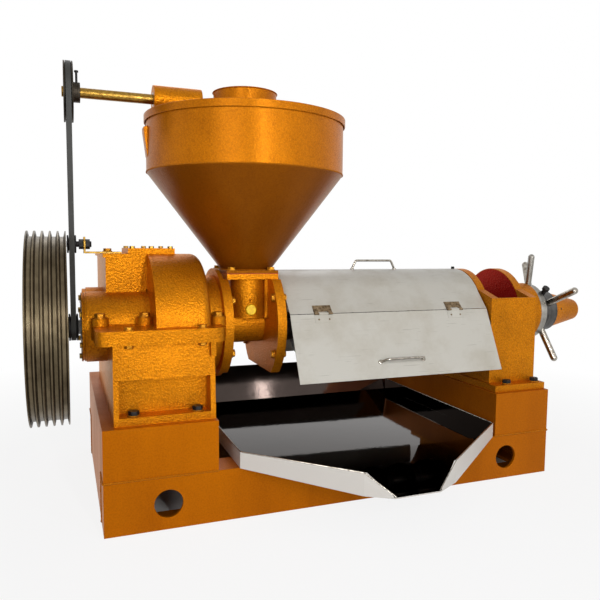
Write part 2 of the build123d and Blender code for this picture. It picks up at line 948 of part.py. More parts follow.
def bearings_and_seals():
    """Gearbox bearings, the throat seal and the bushes of the feeder shaft."""
    drive = bearing(input_bearing_outer, input_seat_radius, input_bearing_start,
                    input_bearing_end)
    first = bearing(inner_bearing_outer, inner_journal_radius, left_chamber_end,
                    left_chamber_end + inner_bearing_width)
    second = bearing(inner_bearing_outer, inner_journal_radius,
                     right_chamber_start - inner_bearing_width, right_chamber_start)
    left = bearing(lay_bearing_outer, lay_journal_radius, lay_shaft_start,
                   lay_shaft_start + lay_bearing_width, lay_y)
    right = bearing(lay_bearing_outer, lay_journal_radius, lay_shaft_end - lay_bearing_width,
                    lay_shaft_end, lay_y)
    output = bearing(output_bearing_outer, output_seat_radius, output_bearing_start,
                     output_bearing_end)
    seal = bearing(screw_seal_radius, output_seat_radius, throat_seal_start, throat_seal_end)
    bush_left = ring_x(feeder_bush_radius, feeder_shaft_radius + running_gap, feeder_tube_left,
                       feeder_tube_left + feeder_bush_length, axis_y, feeder_z)
    bush_right = ring_x(feeder_bush_radius, feeder_shaft_radius + running_gap,
                        feeder_tube_right - feeder_bush_length, feeder_tube_right,
                        axis_y, feeder_z)
    return group([drive, first, second, left, right, output, seal, bush_left, bush_right])


def pinion_teeth(teeth, x0, x1, y):
    """Ring of teeth cut on a shaft."""
    solid = Pos(0, y, axis_z) * prism_x(tooth_outline(teeth, gear_module, 0), x0, x1)
    return solid


def input_pinion_shaft():
    """Stepped drive shaft with the first pinion cut on it."""
    shaft = turned_x([(input_shaft_start, 0), (input_shaft_start, input_end_radius),
                     (input_shaft_step, input_end_radius), (input_shaft_step, input_seat_radius),
                     (input_pinion_step, input_seat_radius), (input_pinion_step, input_pinion_seat),
                     (input_shoulder_end, input_pinion_seat),
                     (input_shoulder_end, inner_journal_radius),
                     (input_shaft_end, inner_journal_radius), (input_shaft_end, 0)])
    return shaft + pinion_teeth(input_pinion_teeth, input_pinion_start, input_pinion_end, axis_y)


def layshaft_pinion_shaft():
    """Second shaft of the train with its pinion cut on it."""
    shaft = turned_x([(lay_shaft_start, 0), (lay_shaft_start, lay_journal_radius),
                     (lay_middle_start, lay_journal_radius), (lay_middle_start, lay_middle_radius),
                     (lay_middle_end, lay_middle_radius), (lay_middle_end, lay_journal_radius),
                     (lay_shaft_end, lay_journal_radius), (lay_shaft_end, 0)], lay_y)
    return shaft + pinion_teeth(lay_pinion_teeth, lay_pinion_start, lay_pinion_end, lay_y)


def layshaft_gear():
    return spur_gear(lay_gear_teeth, half_share, lay_gear_start, lay_gear_end,
                     lay_middle_radius + running_gap, lay_y)


def bull_gear():
    """Last gear of the train, with its web turned thin on both sides."""
    solid = spur_gear(bull_gear_teeth, half_share, bull_start, bull_end,
                      bull_seat_radius + running_gap, axis_y)
    solid -= ring_x(bull_rim_radius, bull_hub_radius, bull_start - bull_web_cut,
                    bull_start + bull_web_cut)
    solid -= ring_x(bull_rim_radius, bull_hub_radius, bull_end - bull_web_cut,
                    bull_end + bull_web_cut)
    return solid


def worm_shaft():
    """Main shaft from the bull gear to the adjusting end."""
    return turned_x([(screw_start, 0), (screw_start, inner_journal_radius),
                     (bull_seat_start, inner_journal_radius), (bull_seat_start, bull_seat_radius),
                     (bull_end + overrun, bull_seat_radius),
                     (bull_end + overrun, output_seat_radius),
                     (screw_step_x, output_seat_radius), (screw_step_x, screw_core_radius),
                     (screw_tail_step, screw_core_radius), (screw_tail_step, screw_tail_radius),
                     (screw_end, screw_tail_radius), (screw_end, 0)])


def worm_section(x0, x1, core, pitch):
    """One worm sleeve: a core with its own screw flight."""
    length = x1 - x0
    body = bar_z(core, 0, length, 0, 0)
    flight = helix_flight(worm_radius, core, pitch, length - worm_flight - overrun, worm_flight)
    body += Pos(0, 0, (worm_flight + overrun) * half_share) * flight
    body -= bar_z(screw_core_radius + running_gap, -overrun, length + overrun, 0, 0)
    return Pos(x0, axis_y, axis_z) * Rot(0, quarter_turn, 0) * body


def worm_sleeves():
    """The feed worm and the press worms, each on its own length of shaft."""
    return group([worm_section(*section) for section in worm_sections])


def distance_collars():
    """Tapered collars between the worms, each thicker toward the outlet."""
    solids = []
    for i in range(1, len(worm_sections)):
        start = worm_sections[i][1] + collar_gap
        last = i + 1 == len(worm_sections)
        end = collar_end if last else worm_sections[i + 1][0] - collar_gap
        root = worm_sections[i][2]
        bore = screw_core_radius + running_gap
        solids.append(turned_x([(start, bore), (start, root), (end, collar_radius),
                                (end, bore)]))
    return group(solids)


def grooved_rim(x0, x1, radius, floor, count, margin, pitch):
    """Right-running edge of (x, radius) points with belt grooves."""
    points = [(x0, radius)]
    for i in range(count):
        middle = x0 + margin + i * pitch
        points += [(middle - groove_half_top, radius), (middle - groove_half_bottom, floor),
                   (middle + groove_half_bottom, floor), (middle + groove_half_top, radius)]
    points.append((x1, radius))
    return points


def main_pulley():
    """Large drive pulley with five belt grooves and a windowed web."""
    bore = input_end_radius + running_gap
    left, right = pulley_left_x, pulley_right_x
    hub = pulley_hub_left
    points = [(hub, bore), (hub, pulley_hub_radius), (pulley_web_left, pulley_hub_radius),
              (pulley_web_left, pulley_rim_inner), (left, pulley_rim_inner)]
    points += grooved_rim(left, right, pulley_radius, pulley_radius - groove_depth,
                          groove_count, groove_margin, groove_pitch)
    points += [(right, pulley_rim_inner), (pulley_web_right, pulley_rim_inner),
               (pulley_web_right, pulley_hub_radius), (right, pulley_hub_radius), (right, bore)]
    solid = turned_x(points)
    for y, z in circle_points(pulley_windows, pulley_window_circle, 0):
        solid -= bar_x(pulley_window_radius, pulley_web_left - overrun,
                       pulley_web_right + overrun, y, z)
    return solid


def v_pulley(radius, belt_line, bore, y, z):
    """Single-groove pulley for the feeder belt."""
    left, right = belt_x - small_pulley_half, belt_x + small_pulley_half
    floor = belt_line - belt_depth * half_share - seat_gap
    top = belt_half_width + seat_gap + (radius - belt_line) * half_share * half_share
    low = belt_half_width + seat_gap
    points = [(left, bore), (left, radius), (belt_x - top, radius), (belt_x - low, floor),
              (belt_x + low, floor), (belt_x + top, radius), (right, radius), (right, bore)]
    return turned_x(points, y, z)


def feeder_drive_pulley():
    bore = input_end_radius + running_gap
    solid = v_pulley(drive_flange_radius, belt_line_drive, bore, axis_y, axis_z)
    return solid + ring_x(pulley_collar_radius, bore, pulley_right_x, belt_x - small_pulley_half)


def belt_hull(offset):
    """Outline around the three feeder belt pulleys at one belt depth."""
    places = ((axis_y, axis_z, belt_line_drive), (idler_y, idler_z, belt_line_idler),
              (axis_y, feeder_z, belt_line_top))
    circles = [Pos(y, z) * Circle(line + offset) for y, z, line in places]
    edges = [edge for circle in circles for edge in circle.edges()]
    return make_hull(edges)


def feeder_belt():
    """Endless belt from the drive pulley over the idler to the feeder pulley."""
    depth = belt_depth * half_share
    face = belt_hull(depth) - belt_hull(-depth)
    solid = extrude(Plane.YZ * face, amount=belt_half_width + belt_half_width)
    return Pos(belt_x - belt_half_width, 0, 0) * solid


def feeder_pulley():
    """Top pulley of the feeder belt with its hub."""
    bore = feeder_shaft_radius + running_gap
    solid = v_pulley(top_flange_radius, belt_line_top, bore, axis_y, feeder_z)
    start = belt_x + small_pulley_half
    return solid + ring_x(top_hub_radius, bore, start, top_hub_end, axis_y, feeder_z)


def feeder_shaft():
    step = bevel_back_x - bevel_hub
    return turned_x([(feeder_shaft_start, 0), (feeder_shaft_start, feeder_shaft_radius),
                     (step, feeder_shaft_radius), (step, bevel_bore),
                     (bevel_front_x + overrun, bevel_bore), (bevel_front_x + overrun, 0)],
                    axis_y, feeder_z)


def feeder_bearing_tube():
    """Cast tube on the hopper lid that carries the feeder shaft."""
    solid = bar_x(feeder_tube_radius, feeder_tube_left, feeder_tube_right, axis_y, feeder_z)
    foot = feeder_tube_radius * half_share
    solid += block(feeder_tube_left + foot, feeder_tube_right, axis_y - foot, axis_y + foot,
                   lid_top, feeder_z)
    return solid - bar_x(feeder_bush_radius + running_gap, feeder_tube_left - overrun,
                         feeder_tube_right + overrun, axis_y, feeder_z)


def idler_pulley():
    return v_pulley(idler_flange_radius, belt_line_idler, idler_axle_radius + running_gap,
                    idler_y, idler_z)


def idler_axle():
    """Stud that the idler turns on, with the nuts that hold it to its bracket."""
    head = bar_x(idler_axle_radius, idler_axle_start, idler_axle_end, idler_y, idler_z)
    nut = extrude(RegularPolygon(large_bolt[0] * half_share, hex_sides, major_radius=False),
                  large_bolt[1])
    turned = Rot(0, quarter_turn, 0) * nut
    head += Pos(bracket_x - large_bolt[1], idler_y, idler_z) * turned
    return head + Pos(bracket_x + bracket_sheet, idler_y, idler_z) * turned


def idler_bracket():
    """Angle bracket bolted to the gearbox rim."""
    front, rear = idler_y - bracket_half_width, idler_y + bracket_half_width
    solid = block(bracket_x, bracket_end_x, front, rear, rim_top, rim_top + bracket_sheet)
    solid += block(bracket_x, bracket_x + bracket_sheet, front, rear, rim_top, bracket_top)
    solid -= bar_x(idler_axle_radius + running_gap, bracket_x - overrun,
                   bracket_x + bracket_sheet + overrun, idler_y, idler_z)
    return solid - bar_z(medium_bolt[2] + running_gap, rim_top - overrun,
                         rim_top + bracket_sheet + overrun, bracket_bolt_x, idler_y)


def stadium(half, run, z0, z1):
    """Upright duct shape over the throat, long across the machine."""
    solid = block(throat_neck_x - half, throat_neck_x + half, axis_y - run, axis_y + run, z0, z1)
    for side in (-run, run):
        solid += bar_z(half, z0, z1, throat_neck_x, axis_y + side)
    return solid


def port_places():
    """Plan positions of the bolts through the hopper and throat flanges."""
    margin = medium_bolt[0] - overrun
    xs = (port_left_x + margin, port_right_x - margin)
    ys = (port_front_y + margin, port_rear_y - margin)
    return [(x, y) for x in xs for y in ys]


def port_holes(z0, z1):
    solids = [bar_z(medium_bolt[2] + running_gap, z0 - overrun, z1 + overrun, x, y)
              for x, y in port_places()]
    return Part() + solids


def feed_throat():
    """Casting between gearbox and press cage that the seed falls into."""
    solid = bar_x(throat_left_radius, throat_left_x, throat_left_face, axis_y, axis_z)
    solid += bar_x(throat_barrel_radius, throat_left_x, throat_right_x, axis_y, axis_z)
    solid += bar_x(throat_right_radius, throat_right_face, throat_right_x, axis_y, axis_z)
    over = port_top + cut_over
    solid -= block(throat_left_x - overrun, throat_right_x + overrun, -cut_over, cut_over,
                   0, throat_flat_z)
    solid -= block(throat_left_x - overrun, throat_right_x + overrun, -cut_over, cut_over,
                   port_bottom, over)
    solid += block(port_left_x, port_right_x, port_front_y, port_rear_y, port_bottom, port_top)
    solid += stadium(throat_neck_half, throat_neck_run, throat_neck_bottom, port_bottom)
    solid += block(throat_rib_x - throat_rib_width, throat_rib_x, throat_rib_front_y,
                   axis_y, throat_neck_bottom, port_bottom)
    solid += bar_y(fitting_radius, throat_front_y - fitting_rise, throat_front_y + fitting_rise,
                   fitting_x, fitting_z)
    solid -= bar_x(throat_bore, throat_wall_x, throat_right_x + overrun, axis_y, axis_z)
    solid -= bar_x(output_seat_radius + seat_gap, throat_left_x - overrun, throat_wall_x + overrun,
                   axis_y, axis_z)
    solid -= bar_x(screw_seal_radius + running_gap, throat_seal_start - overrun,
                   throat_seal_end, axis_y, axis_z)
    solid -= stadium(throat_neck_bore, throat_duct_run, throat_duct_bottom, port_top + overrun)
    solid -= block(throat_neck_x - throat_neck_bore, throat_neck_x + throat_neck_bore,
                   axis_y - throat_neck_bore, axis_y + throat_neck_bore, axis_z, port_bottom)
    for y, z in circle_points(flange_bolt_count, flange_bolt_circle, flange_bolt_first):
        solid -= bar_x(medium_bolt[2] + running_gap, throat_left_x - overrun,
                       throat_left_face + overrun, y, z)
    for y, z in cage_bolt_places():
        solid -= bar_x(medium_bolt[2] + running_gap, throat_right_face - overrun,
                       throat_right_x + overrun, y, z)
    return solid - port_holes(port_bottom, port_top)


def cage_bolt_places():
    """Bolts on the rim of the throat flange, except where the rim is cut flat."""
    return [(y, z) for y, z in circle_points(flange_bolt_count, cage_bolt_circle,
                                             flange_bolt_first)
            if throat_flat_z + medium_bolt[0] < z < port_bottom - medium_bolt[0]]


def throat_bolts():
    """Bolts of the throat: to the gearbox, on the cage side rim and under the hopper."""
    places = circle_points(flange_bolt_count, flange_bolt_circle, flange_bolt_first)
    reach = throat_left_face - throat_left_x
    solids = [facing_right(bolt(medium_bolt, reach), throat_left_face, y, z)
              for y, z in places if throat_flat_z + medium_bolt[0] < z < port_bottom]
    reach = throat_right_x - throat_right_face
    nut = extrude(RegularPolygon(medium_bolt[0] * half_share, hex_sides, major_radius=False),
                  medium_bolt[1])
    for y, z in cage_bolt_places():
        through = facing_left(bolt(medium_bolt, reach), throat_right_face, y, z)
        solids.append(through + facing_right(nut, throat_right_x, y, z))
    reach = neck_flange_top - port_bottom
    solids += [Pos(x, y, neck_flange_top) * bolt(medium_bolt, reach) for x, y in port_places()]
    return group(solids)


def port_gasket():
    """Red gasket between the throat flange and the hopper flange."""
    solid = block(port_left_x, port_right_x, port_front_y, port_rear_y, port_top, gasket_top)
    solid -= stadium(throat_neck_bore, throat_duct_run, port_top - overrun, gasket_top + overrun)
    return solid - port_holes(port_top, gasket_top)


def throat_plug():
    """Round plug on the front of the throat neck."""
    return bar_y(plug_radius, plug_y - sheet, throat_front_y, plug_x, plug_z)


def hopper_shell():
    """Sheet hopper: flange, cone and straight upper wall."""
    wall = hopper_wall
    x, y = hopper_x, axis_y
    points = [(hopper_neck_radius - wall, neck_flange_top), (hopper_neck_radius, neck_flange_top),
              (hopper_radius, hopper_knee_z), (hopper_radius, hopper_top),
              (hopper_radius - wall, hopper_top), (hopper_radius - wall, hopper_knee_z + wall)]
    plate = block(port_left_x, port_right_x, port_front_y, port_rear_y, gasket_top,
                  neck_flange_top)
    plate -= stadium(throat_neck_bore, throat_duct_run, gasket_top - overrun,
                     neck_flange_top + overrun)
    plate -= port_holes(gasket_top, neck_flange_top)
    shell = turned_z(points, x, y)
    for px, py in port_places():
        shell -= bar_z(medium_bolt[0] * head_room_share, neck_flange_top,
                       neck_flange_top + medium_bolt[1] + overrun, px, py)
    return plate + shell


def hopper_lid():
    """Pressed lid with a skirt, a filling hole and a hole for the auger."""
    points = [(0, hopper_top), (0, lid_top), (lid_radius, lid_top), (lid_radius, lid_skirt_bottom),
              (lid_radius - lid_wall, lid_skirt_bottom), (lid_radius - lid_wall, hopper_top)]
    solid = turned_z(points, hopper_x, axis_y)
    solid -= bar_z(inlet_radius - inlet_wall, hopper_top - overrun, lid_top + overrun,
                   inlet_x, inlet_y)
    solid -= bar_z(auger_neck_radius + running_gap, hopper_top - overrun,
                   lid_top + overrun, hopper_x, axis_y)
    return solid + inlet_collar()


def inlet_collar():
    """Short filling pipe with a rolled lip."""
    inner = inlet_radius - inlet_wall
    points = [(inner, lid_top), (inlet_radius, lid_top), (inlet_radius, inlet_top - inlet_lip),
              (inlet_radius + inlet_lip, inlet_top - inlet_lip * half_share),
              (inlet_radius + inlet_lip * half_share, inlet_top), (inner, inlet_top)]
    return turned_z(points, inlet_x, inlet_y)


def bevel_housing():
    """Small gear housing over the middle of the lid."""
    solid = bar_z(housing_radius, lid_top, housing_top, hopper_x, axis_y)
    solid -= bar_z(housing_radius - housing_wall, lid_top - overrun, housing_top - housing_wall,
                   hopper_x, axis_y)
    return solid - bar_x(feeder_shaft_radius + running_gap, hopper_x - housing_radius - overrun,
                         hopper_x - housing_radius * half_share, axis_y, feeder_z)


def bevel_gear(teeth, length, shift):
    """Straight bevel gear about Z, the large end below and the apex above."""
    large = tooth_outline(teeth, bevel_module, shift)
    small = [(a * bevel_share, b * bevel_share) for a, b in large]
    bottom = make_face(Polyline(*large, close=True))
    top = Pos(0, 0, length) * make_face(Polyline(*small, close=True))
    body = loft([bottom, top], ruled=True)
    body += bar_z(bevel_hub_radius, -bevel_hub, 0, 0, 0)
    return body - bar_z(bevel_bore + running_gap, -bevel_hub - overrun, length + overrun, 0, 0)


def feeder_bevel_pinion():
    gear = bevel_gear(bevel_pinion_teeth, bevel_front_x - bevel_back_x, 0)
    return Pos(bevel_back_x, axis_y, feeder_z) * Rot(0, quarter_turn, 0) * gear


def auger_bevel_gear():
    gear = bevel_gear(bevel_gear_teeth, bevel_front_z - bevel_back_z, half_share)
    return Pos(hopper_x, axis_y, bevel_back_z - bevel_slack) * gear


def feed_auger():
    """Upright shaft in the hopper with a short screw over the throat."""
    body = bar_z(auger_shaft_radius, auger_bottom, auger_shoulder, hopper_x, axis_y)
    body += bar_z(auger_neck_radius, auger_shoulder, bevel_front_z, hopper_x, axis_y)
    length = auger_flight_top - auger_bottom - auger_flight - overrun
    flight = helix_flight(auger_flight_radius, auger_shaft_radius, auger_pitch, length,
                          auger_flight)
    start = auger_bottom + (auger_flight + overrun) * half_share
    return body + Pos(hopper_x, axis_y, start) * flight


def rib_starts():
    step = (cage_end - cage_start - rib_width) / (rib_count - 1)
    return [cage_start + i * step for i in range(rib_count)]


def clamp_places():
    """Positions of the clamp bolts, between the ribs on both rails."""
    starts = rib_starts()
    middles = [(a + b + rib_width) * half_share for a, b in zip(starts, starts[1:])]
    return [(x, axis_y + side * clamp_offset) for x in middles for side in (-1, 1)]


def cage_half(side):
    """Half of the ribbed press cage with its two clamping rails."""
    z0, z1 = sorted((axis_z, axis_z + side * cut_over))
    r0, r1 = sorted((axis_z, axis_z + side * rail_height))
    solids = [bar_x(cage_rib_radius, x, x + rib_width, axis_y, axis_z) for x in rib_starts()]
    solid = Part() + solids
    for way in (-1, 1):
        y0, y1 = sorted((axis_y + way * cage_shell_radius, axis_y + way * rail_outer))
        solid += block(cage_start, cage_end, y0, y1, r0, r1)
    solid &= block(cage_start, cage_end, -cut_over, cut_over, z0, z1)
    solid -= bar_x(bar_outer_radius + running_gap, cage_start - overrun, cage_end + overrun,
                   axis_y, axis_z)
    for x, y in clamp_places():
        solid -= bar_z(clamp_radius + running_gap, r0 - overrun, r1 + overrun, x, y)
    return solid


def press_bars():
    """Steel bars laid side by side, with oil slits between them."""
    turn = full_turn / bar_count
    width = radians(turn * bar_share) * half_share
    solids = []
    for i in range(bar_count):
        middle = radians(turn * (i + half_share))
        corners = [(bar_inner_radius, -width), (bar_outer_radius, -width),
                   (bar_outer_radius, width), (bar_inner_radius, width)]
        points = []
        for radius, angle in corners:
            points.append((axis_y + radius * cos(middle + angle),
                           axis_z + radius * sin(middle + angle)))
        solids.append(prism_x(points, cage_start, cage_end))
    return group(solids)


def cage_clamp_bolts():
    reach = rail_height + rail_height
    nut = extrude(RegularPolygon(large_bolt[0] * half_share, hex_sides, major_radius=False),
                  large_bolt[1])
    solids = []
    for x, y in clamp_places():
        through = Pos(x, y, axis_z + rail_height) * bolt(large_bolt, reach)
        solids.append(through + Pos(x, y, axis_z - rail_height - large_bolt[1]) * nut)
    return group(solids)


def cage_end_ring():
    """Ring with a conical mouth where the cake leaves the cage."""
    return turned_x([(end_ring_start, end_ring_bore_left), (end_ring_start, end_ring_radius),
                     (end_ring_end, end_ring_radius), (end_ring_end, end_ring_bore_right)])


def column_foot_places():
    """Plan positions of the holding-down bolts of the outlet column."""
    front = (column_foot_front + axis_y - column_half_width) * half_share
    rear = (column_foot_rear + axis_y + column_half_width) * half_share
    return [(x, y) for y in (front, rear) for x in (column_bolt_left_x, column_bolt_right_x)]


def arch_wall(x0, x1):
    """Upright wall of the column with an arched head."""
    wide = column_half_width
    shoulder = column_arch_radius * arch_share
    rise = sqrt(column_arch_radius ** 2 - shoulder ** 2)
    points = [(axis_y - wide, foot_top), (axis_y - wide, column_front_top),
              (axis_y - shoulder, axis_z + rise), (axis_y + shoulder, axis_z + rise),
              (axis_y + wide, column_front_top), (axis_y + wide, foot_top)]
    head = bar_x(column_arch_radius, x0, x1, axis_y, axis_z)
    return prism_x(points, x0, x1) + head


def outlet_column():
    """Hollow casting that carries the outlet end of press cage and worm shaft."""
    left, right = column_left_x, column_right_x
    left_inner, right_inner = left + column_left_wall, right - column_right_wall
    front, rear = axis_y - column_half_width, axis_y + column_half_width
    solid = block(column_foot_left, column_foot_right, column_foot_front, column_foot_rear,
                  pedestal_top, foot_top)
    solid += arch_wall(left, left_inner)
    solid += arch_wall(right_inner, right)
    solid += block(left, right, front, front + column_front_wall, foot_top, column_front_top)
    solid += block(left, right, rear - column_front_wall, rear, foot_top, column_front_top)
    solid += turned_x([(right, 0), (right, column_boss_root), (column_boss_step, column_boss_radius),
                       (column_boss_x, column_boss_radius), (column_boss_x, 0)])
    solid -= bar_x(column_mouth_radius, left - overrun, left_inner + overrun, axis_y, axis_z)
    solid -= bar_x(choke_tube_radius + seat_gap, right_inner - overrun, column_boss_x + overrun,
                   axis_y, axis_z)
    solid -= bar_x(sleeve_thread_radius + running_gap, sleeve_tail_start - sleeve_room,
                   column_boss_x + overrun, axis_y, axis_z)
    solid -= block(cake_hole_left, cake_hole_right, cake_hole_front, cake_hole_rear,
                   pedestal_top - overrun, foot_top + overrun)
    for x, y in column_foot_places():
        solid -= bar_z(large_bolt[2] + running_gap, pedestal_top - overrun,
                       foot_top + overrun, x, y)
    return solid


def radial_point(x, radius, degrees):
    """Point at a distance from the press axis, the angle taken from the rear upward."""
    angle = radians(degrees)
    return Vector(x, axis_y + radius * cos(angle), axis_z + radius * sin(angle))


def spoke(radius, foot, tip):
    """Round rod between two points with a domed outer end."""
    line = tip - foot
    place = Plane(origin=foot, z_dir=line)
    rod = Cylinder(radius, line.length, align=(Align.CENTER, Align.CENTER, Align.MIN))
    return place * rod + Pos(tip.X, tip.Y, tip.Z) * Sphere(radius)


def handle_rod(radius, number):
    angle = rod_first_angle + full_turn * number / rod_count
    return spoke(radius, radial_point(rod_foot_x, rod_foot_radius, angle),
                 radial_point(rod_tip_x, rod_tip_radius - rod_radius, angle))


def handle_rods():
    """Four bare steel rods that turn the adjusting sleeve."""
    return group([handle_rod(rod_radius, i) for i in range(rod_count)])


def ring_rod_shape(radius):
    return spoke(radius, radial_point(ring_rod_x, ring_rod_foot, ring_rod_angle),
                 radial_point(ring_rod_x, ring_rod_tip - rod_radius, ring_rod_angle))


def lock_ring():
    """Ring nut with one rod, which jams the adjusting sleeve against the column."""
    solid = ring_x(ring_radius, sleeve_thread_radius + running_gap, ring_start, ring_end)
    return solid + ring_rod_shape(rod_radius * ring_rod_share)


def lock_bolt_shape(radius):
    return spoke(radius, radial_point(lock_bolt_x, lock_bolt_foot, lock_bolt_angle),
                 radial_point(lock_bolt_x, lock_bolt_top, lock_bolt_angle))


def lock_bolt():
    """Set bolt in the adjusting sleeve."""
    foot = radial_point(lock_bolt_x, lock_bolt_foot, lock_bolt_angle)
    top = radial_point(lock_bolt_x, lock_bolt_top, lock_bolt_angle)
    shank = Cylinder(lock_bolt_radius, (top - foot).length,
                     align=(Align.CENTER, Align.CENTER, Align.MIN))
    head = Cylinder(lock_bolt_head, lock_bolt_head, align=(Align.CENTER, Align.CENTER, Align.MIN))
    return Plane(origin=foot, z_dir=top - foot) * shank + Plane(origin=top, z_dir=top - foot) * head


def adjusting_sleeve():
    """Threaded sleeve with a wide head that holds the four rods."""
    bore = choke_tube_radius + running_gap
    solid = turned_x([(sleeve_tail_start, bore), (sleeve_tail_start, sleeve_thread_radius),
                      (ring_end + seat_gap, sleeve_thread_radius),
                      (ring_end + seat_gap, sleeve_radius), (sleeve_end, sleeve_radius),
                      (sleeve_end, bore)])
    for i in range(rod_count):
        solid -= handle_rod(rod_radius + running_gap, i)
    return solid - lock_bolt_shape(lock_bolt_radius + running_gap)


def choke_cone():
    """Cone on a tube that narrows the cake outlet and steadies the tail of the shaft."""
    return turned_x([(choke_start, choke_bore), (choke_start, choke_left_radius),
                     (choke_knee, choke_right_radius), (choke_knee, choke_tube_radius),
                     (choke_tube_end, choke_tube_radius),
                     (choke_tube_end, screw_tail_radius + running_gap),
                     (tail_bush_start, screw_tail_radius + running_gap),
                     (tail_bush_start, choke_bore)])


def shaft_end_cover():
    """Tapered cover over the shaft end."""
    points = [(sleeve_end, nose_bore), (sleeve_end, nose_root_radius),
              (nose_end - nose_round, nose_tip_radius + overrun),
              (nose_end, nose_tip_radius - nose_round), (nose_end, 0), (nose_bore_end, 0),
              (nose_bore_end, nose_bore)]
    return turned_x(points)


def slope_offset(radius):
    """Distance from the press axis plane to the cover flat at hinge height."""
    angle = radians(cover_slope)
    drop = radius * sin(angle) + axis_z - hinge_z
    return radius * cos(angle) + drop * sin(angle) / cos(angle)


def cover_edges(radius, back):
    """Half outline of the cover sheet in (y, z), front side first when back is false."""
    way = 1 if back else -1
    angle = radians(cover_slope)
    hinge = (axis_y + way * slope_offset(radius), hinge_z)
    touch = (axis_y + way * radius * cos(angle), axis_z + radius * sin(angle))
    return hinge, touch


def cover_upper_sheet():
    """Bent sheet over the press cage, an arch with two straight shoulders."""
    outer, inner = cover_radius, cover_radius - cover_sheet
    h1, t1 = cover_edges(outer, False)
    h2, t2 = cover_edges(outer, True)
    h3, t3 = cover_edges(inner, True)
    h4, t4 = cover_edges(inner, False)
    edges = [Line(h1, t1), ThreePointArc(t1, (axis_y, axis_z + outer), t2), Line(t2, h2),
             Line(h2, h3), Line(h3, t3), ThreePointArc(t3, (axis_y, axis_z + inner), t4),
             Line(t4, h4), Line(h4, h1)]
    face = Plane.YZ * make_face(Curve() + edges)
    return Pos(cover_left_x, 0, 0) * extrude(face, amount=cover_right_x - cover_left_x)


def flap_frame(back):
    """Top corner of a flap with the unit steps down and outward."""
    way = 1 if back else -1
    top = slope_offset(cover_radius)
    run, fall = flap_foot_offset - top, hinge_z - flap_foot_z
    length = sqrt(run ** 2 + fall ** 2)
    down = (way * run / length, -fall / length)
    out = (way * fall / length, run / length)
    return (axis_y + way * top, hinge_z), down, out, length


def along(start, down, out, a, b):
    """Point a step a down the sheet and b outward from it."""
    return (start[0] + down[0] * a + out[0] * b, start[1] + down[1] * a + out[1] * b)


def cover_flap(back):
    """Flat sheet that hangs below the shoulder of the cover, with its hinge leaves."""
    start, down, out, length = flap_frame(back)
    corners = [(flap_gap, 0), (length, 0), (length, -cover_sheet), (flap_gap, -cover_sheet)]
    points = [along(start, down, out, a, b) for a, b in corners]
    solid = prism_x(points, cover_left_x, cover_right_x)
    for x in (hinge_left_x, hinge_right_x):
        solid += moving_leaf(x, back)
    return solid


def hinge_point(back):
    """Turning point of a flap, just outside the bend of the cover."""
    way = 1 if back else -1
    return axis_y + way * (slope_offset(cover_radius) + hinge_out), hinge_z


def fixed_leaf(x, back):
    """Hinge leaf on the shoulder with the two outer knuckles and the pin."""
    way = 1 if back else -1
    angle = radians(cover_slope)
    up, out = (-way * sin(angle), cos(angle)), (way * cos(angle), sin(angle))
    y, z = hinge_point(back)
    start = (axis_y + way * slope_offset(cover_radius), hinge_z)
    corners = [(0, 0), (hinge_leaf, 0), (hinge_leaf, leaf_sheet), (0, leaf_sheet + leaf_sheet)]
    points = [along(start, up, out, a, b) for a, b in corners]
    quarter = hinge_width * half_share * half_share
    gap = seat_gap
    solid = bar_x(pin_radius, x, x + hinge_width, y, z)
    for x0, x1 in ((x, x + quarter - gap), (x + hinge_width - quarter + gap, x + hinge_width)):
        solid += bar_x(knuckle_radius, x0, x1, y, z)
        solid += prism_x(points, x0, x1)
    lift = [along(start, up, out, a, b) for a, b in
            ((knuckle_radius + knuckle_radius, 0), (hinge_leaf, 0), (hinge_leaf, leaf_sheet),
             (knuckle_radius + knuckle_radius, leaf_sheet))]
    return solid + prism_x(lift, x, x + hinge_width)


def moving_leaf(x, back):
    """Hinge leaf on the flap with the middle knuckle."""
    start, down, out, length = flap_frame(back)
    y, z = hinge_point(back)
    quarter = hinge_width * half_share * half_share
    near = [along(start, down, out, a, b) for a, b in
            ((flap_gap, 0), (hinge_leaf, 0), (hinge_leaf, leaf_sheet), (0, leaf_sheet + leaf_sheet))]
    solid = bar_x(knuckle_radius, x + quarter, x + hinge_width - quarter, y, z)
    solid += prism_x(near, x + quarter, x + hinge_width - quarter)
    solid -= bar_x(pin_radius + running_gap, x, x + hinge_width, y, z)
    low = [along(start, down, out, a, b) for a, b in
           ((knuckle_radius + knuckle_radius, 0), (hinge_leaf, 0), (hinge_leaf, leaf_sheet),
            (knuckle_radius + knuckle_radius, leaf_sheet))]
    return solid + prism_x(low, x, x + hinge_width)


def cover_hinge_leaves():
    return group([fixed_leaf(x, back) for x in (hinge_left_x, hinge_right_x)
                  for back in (False, True)])


def cover_hoops():
    """Strap hoops under both ends of the cover, which carry it."""
    outer = cover_radius - cover_sheet - seat_gap
    solids = []
    for x0 in (hoop_left_x, column_left_x - hoop_length):
        hoop = ring_x(outer, outer - hoop_depth, x0, x0 + hoop_length)
        solids.append(hoop & block(x0, x0 + hoop_length, -cut_over, cut_over,
                                   axis_z + hoop_foot, axis_z + cut_over))
    return group(solids)


def wire_bow(left, right, rise):
    """Bent wire handle standing on the XY plane."""
    path = FilletPolyline((left, 0, 0), (left + rise * half_share, 0, rise),
                          (right - rise * half_share, 0, rise), (right, 0, 0), radius=rise * wire_share)
    start = Plane(origin=(left, 0, 0), z_dir=path.edges()[0] % 0)
    return sweep(start * Circle(wire_radius), path=path)


def wire_foot():
    """Height at which the slanting foot of a wire handle meets its sheet."""
    return wire_radius * half_share / sqrt(1 + half_share ** 2)


def cover_handle():
    bow = wire_bow(top_handle_left, top_handle_right, top_handle_rise)
    return Pos(0, axis_y, axis_z + cover_radius + wire_foot()) * bow


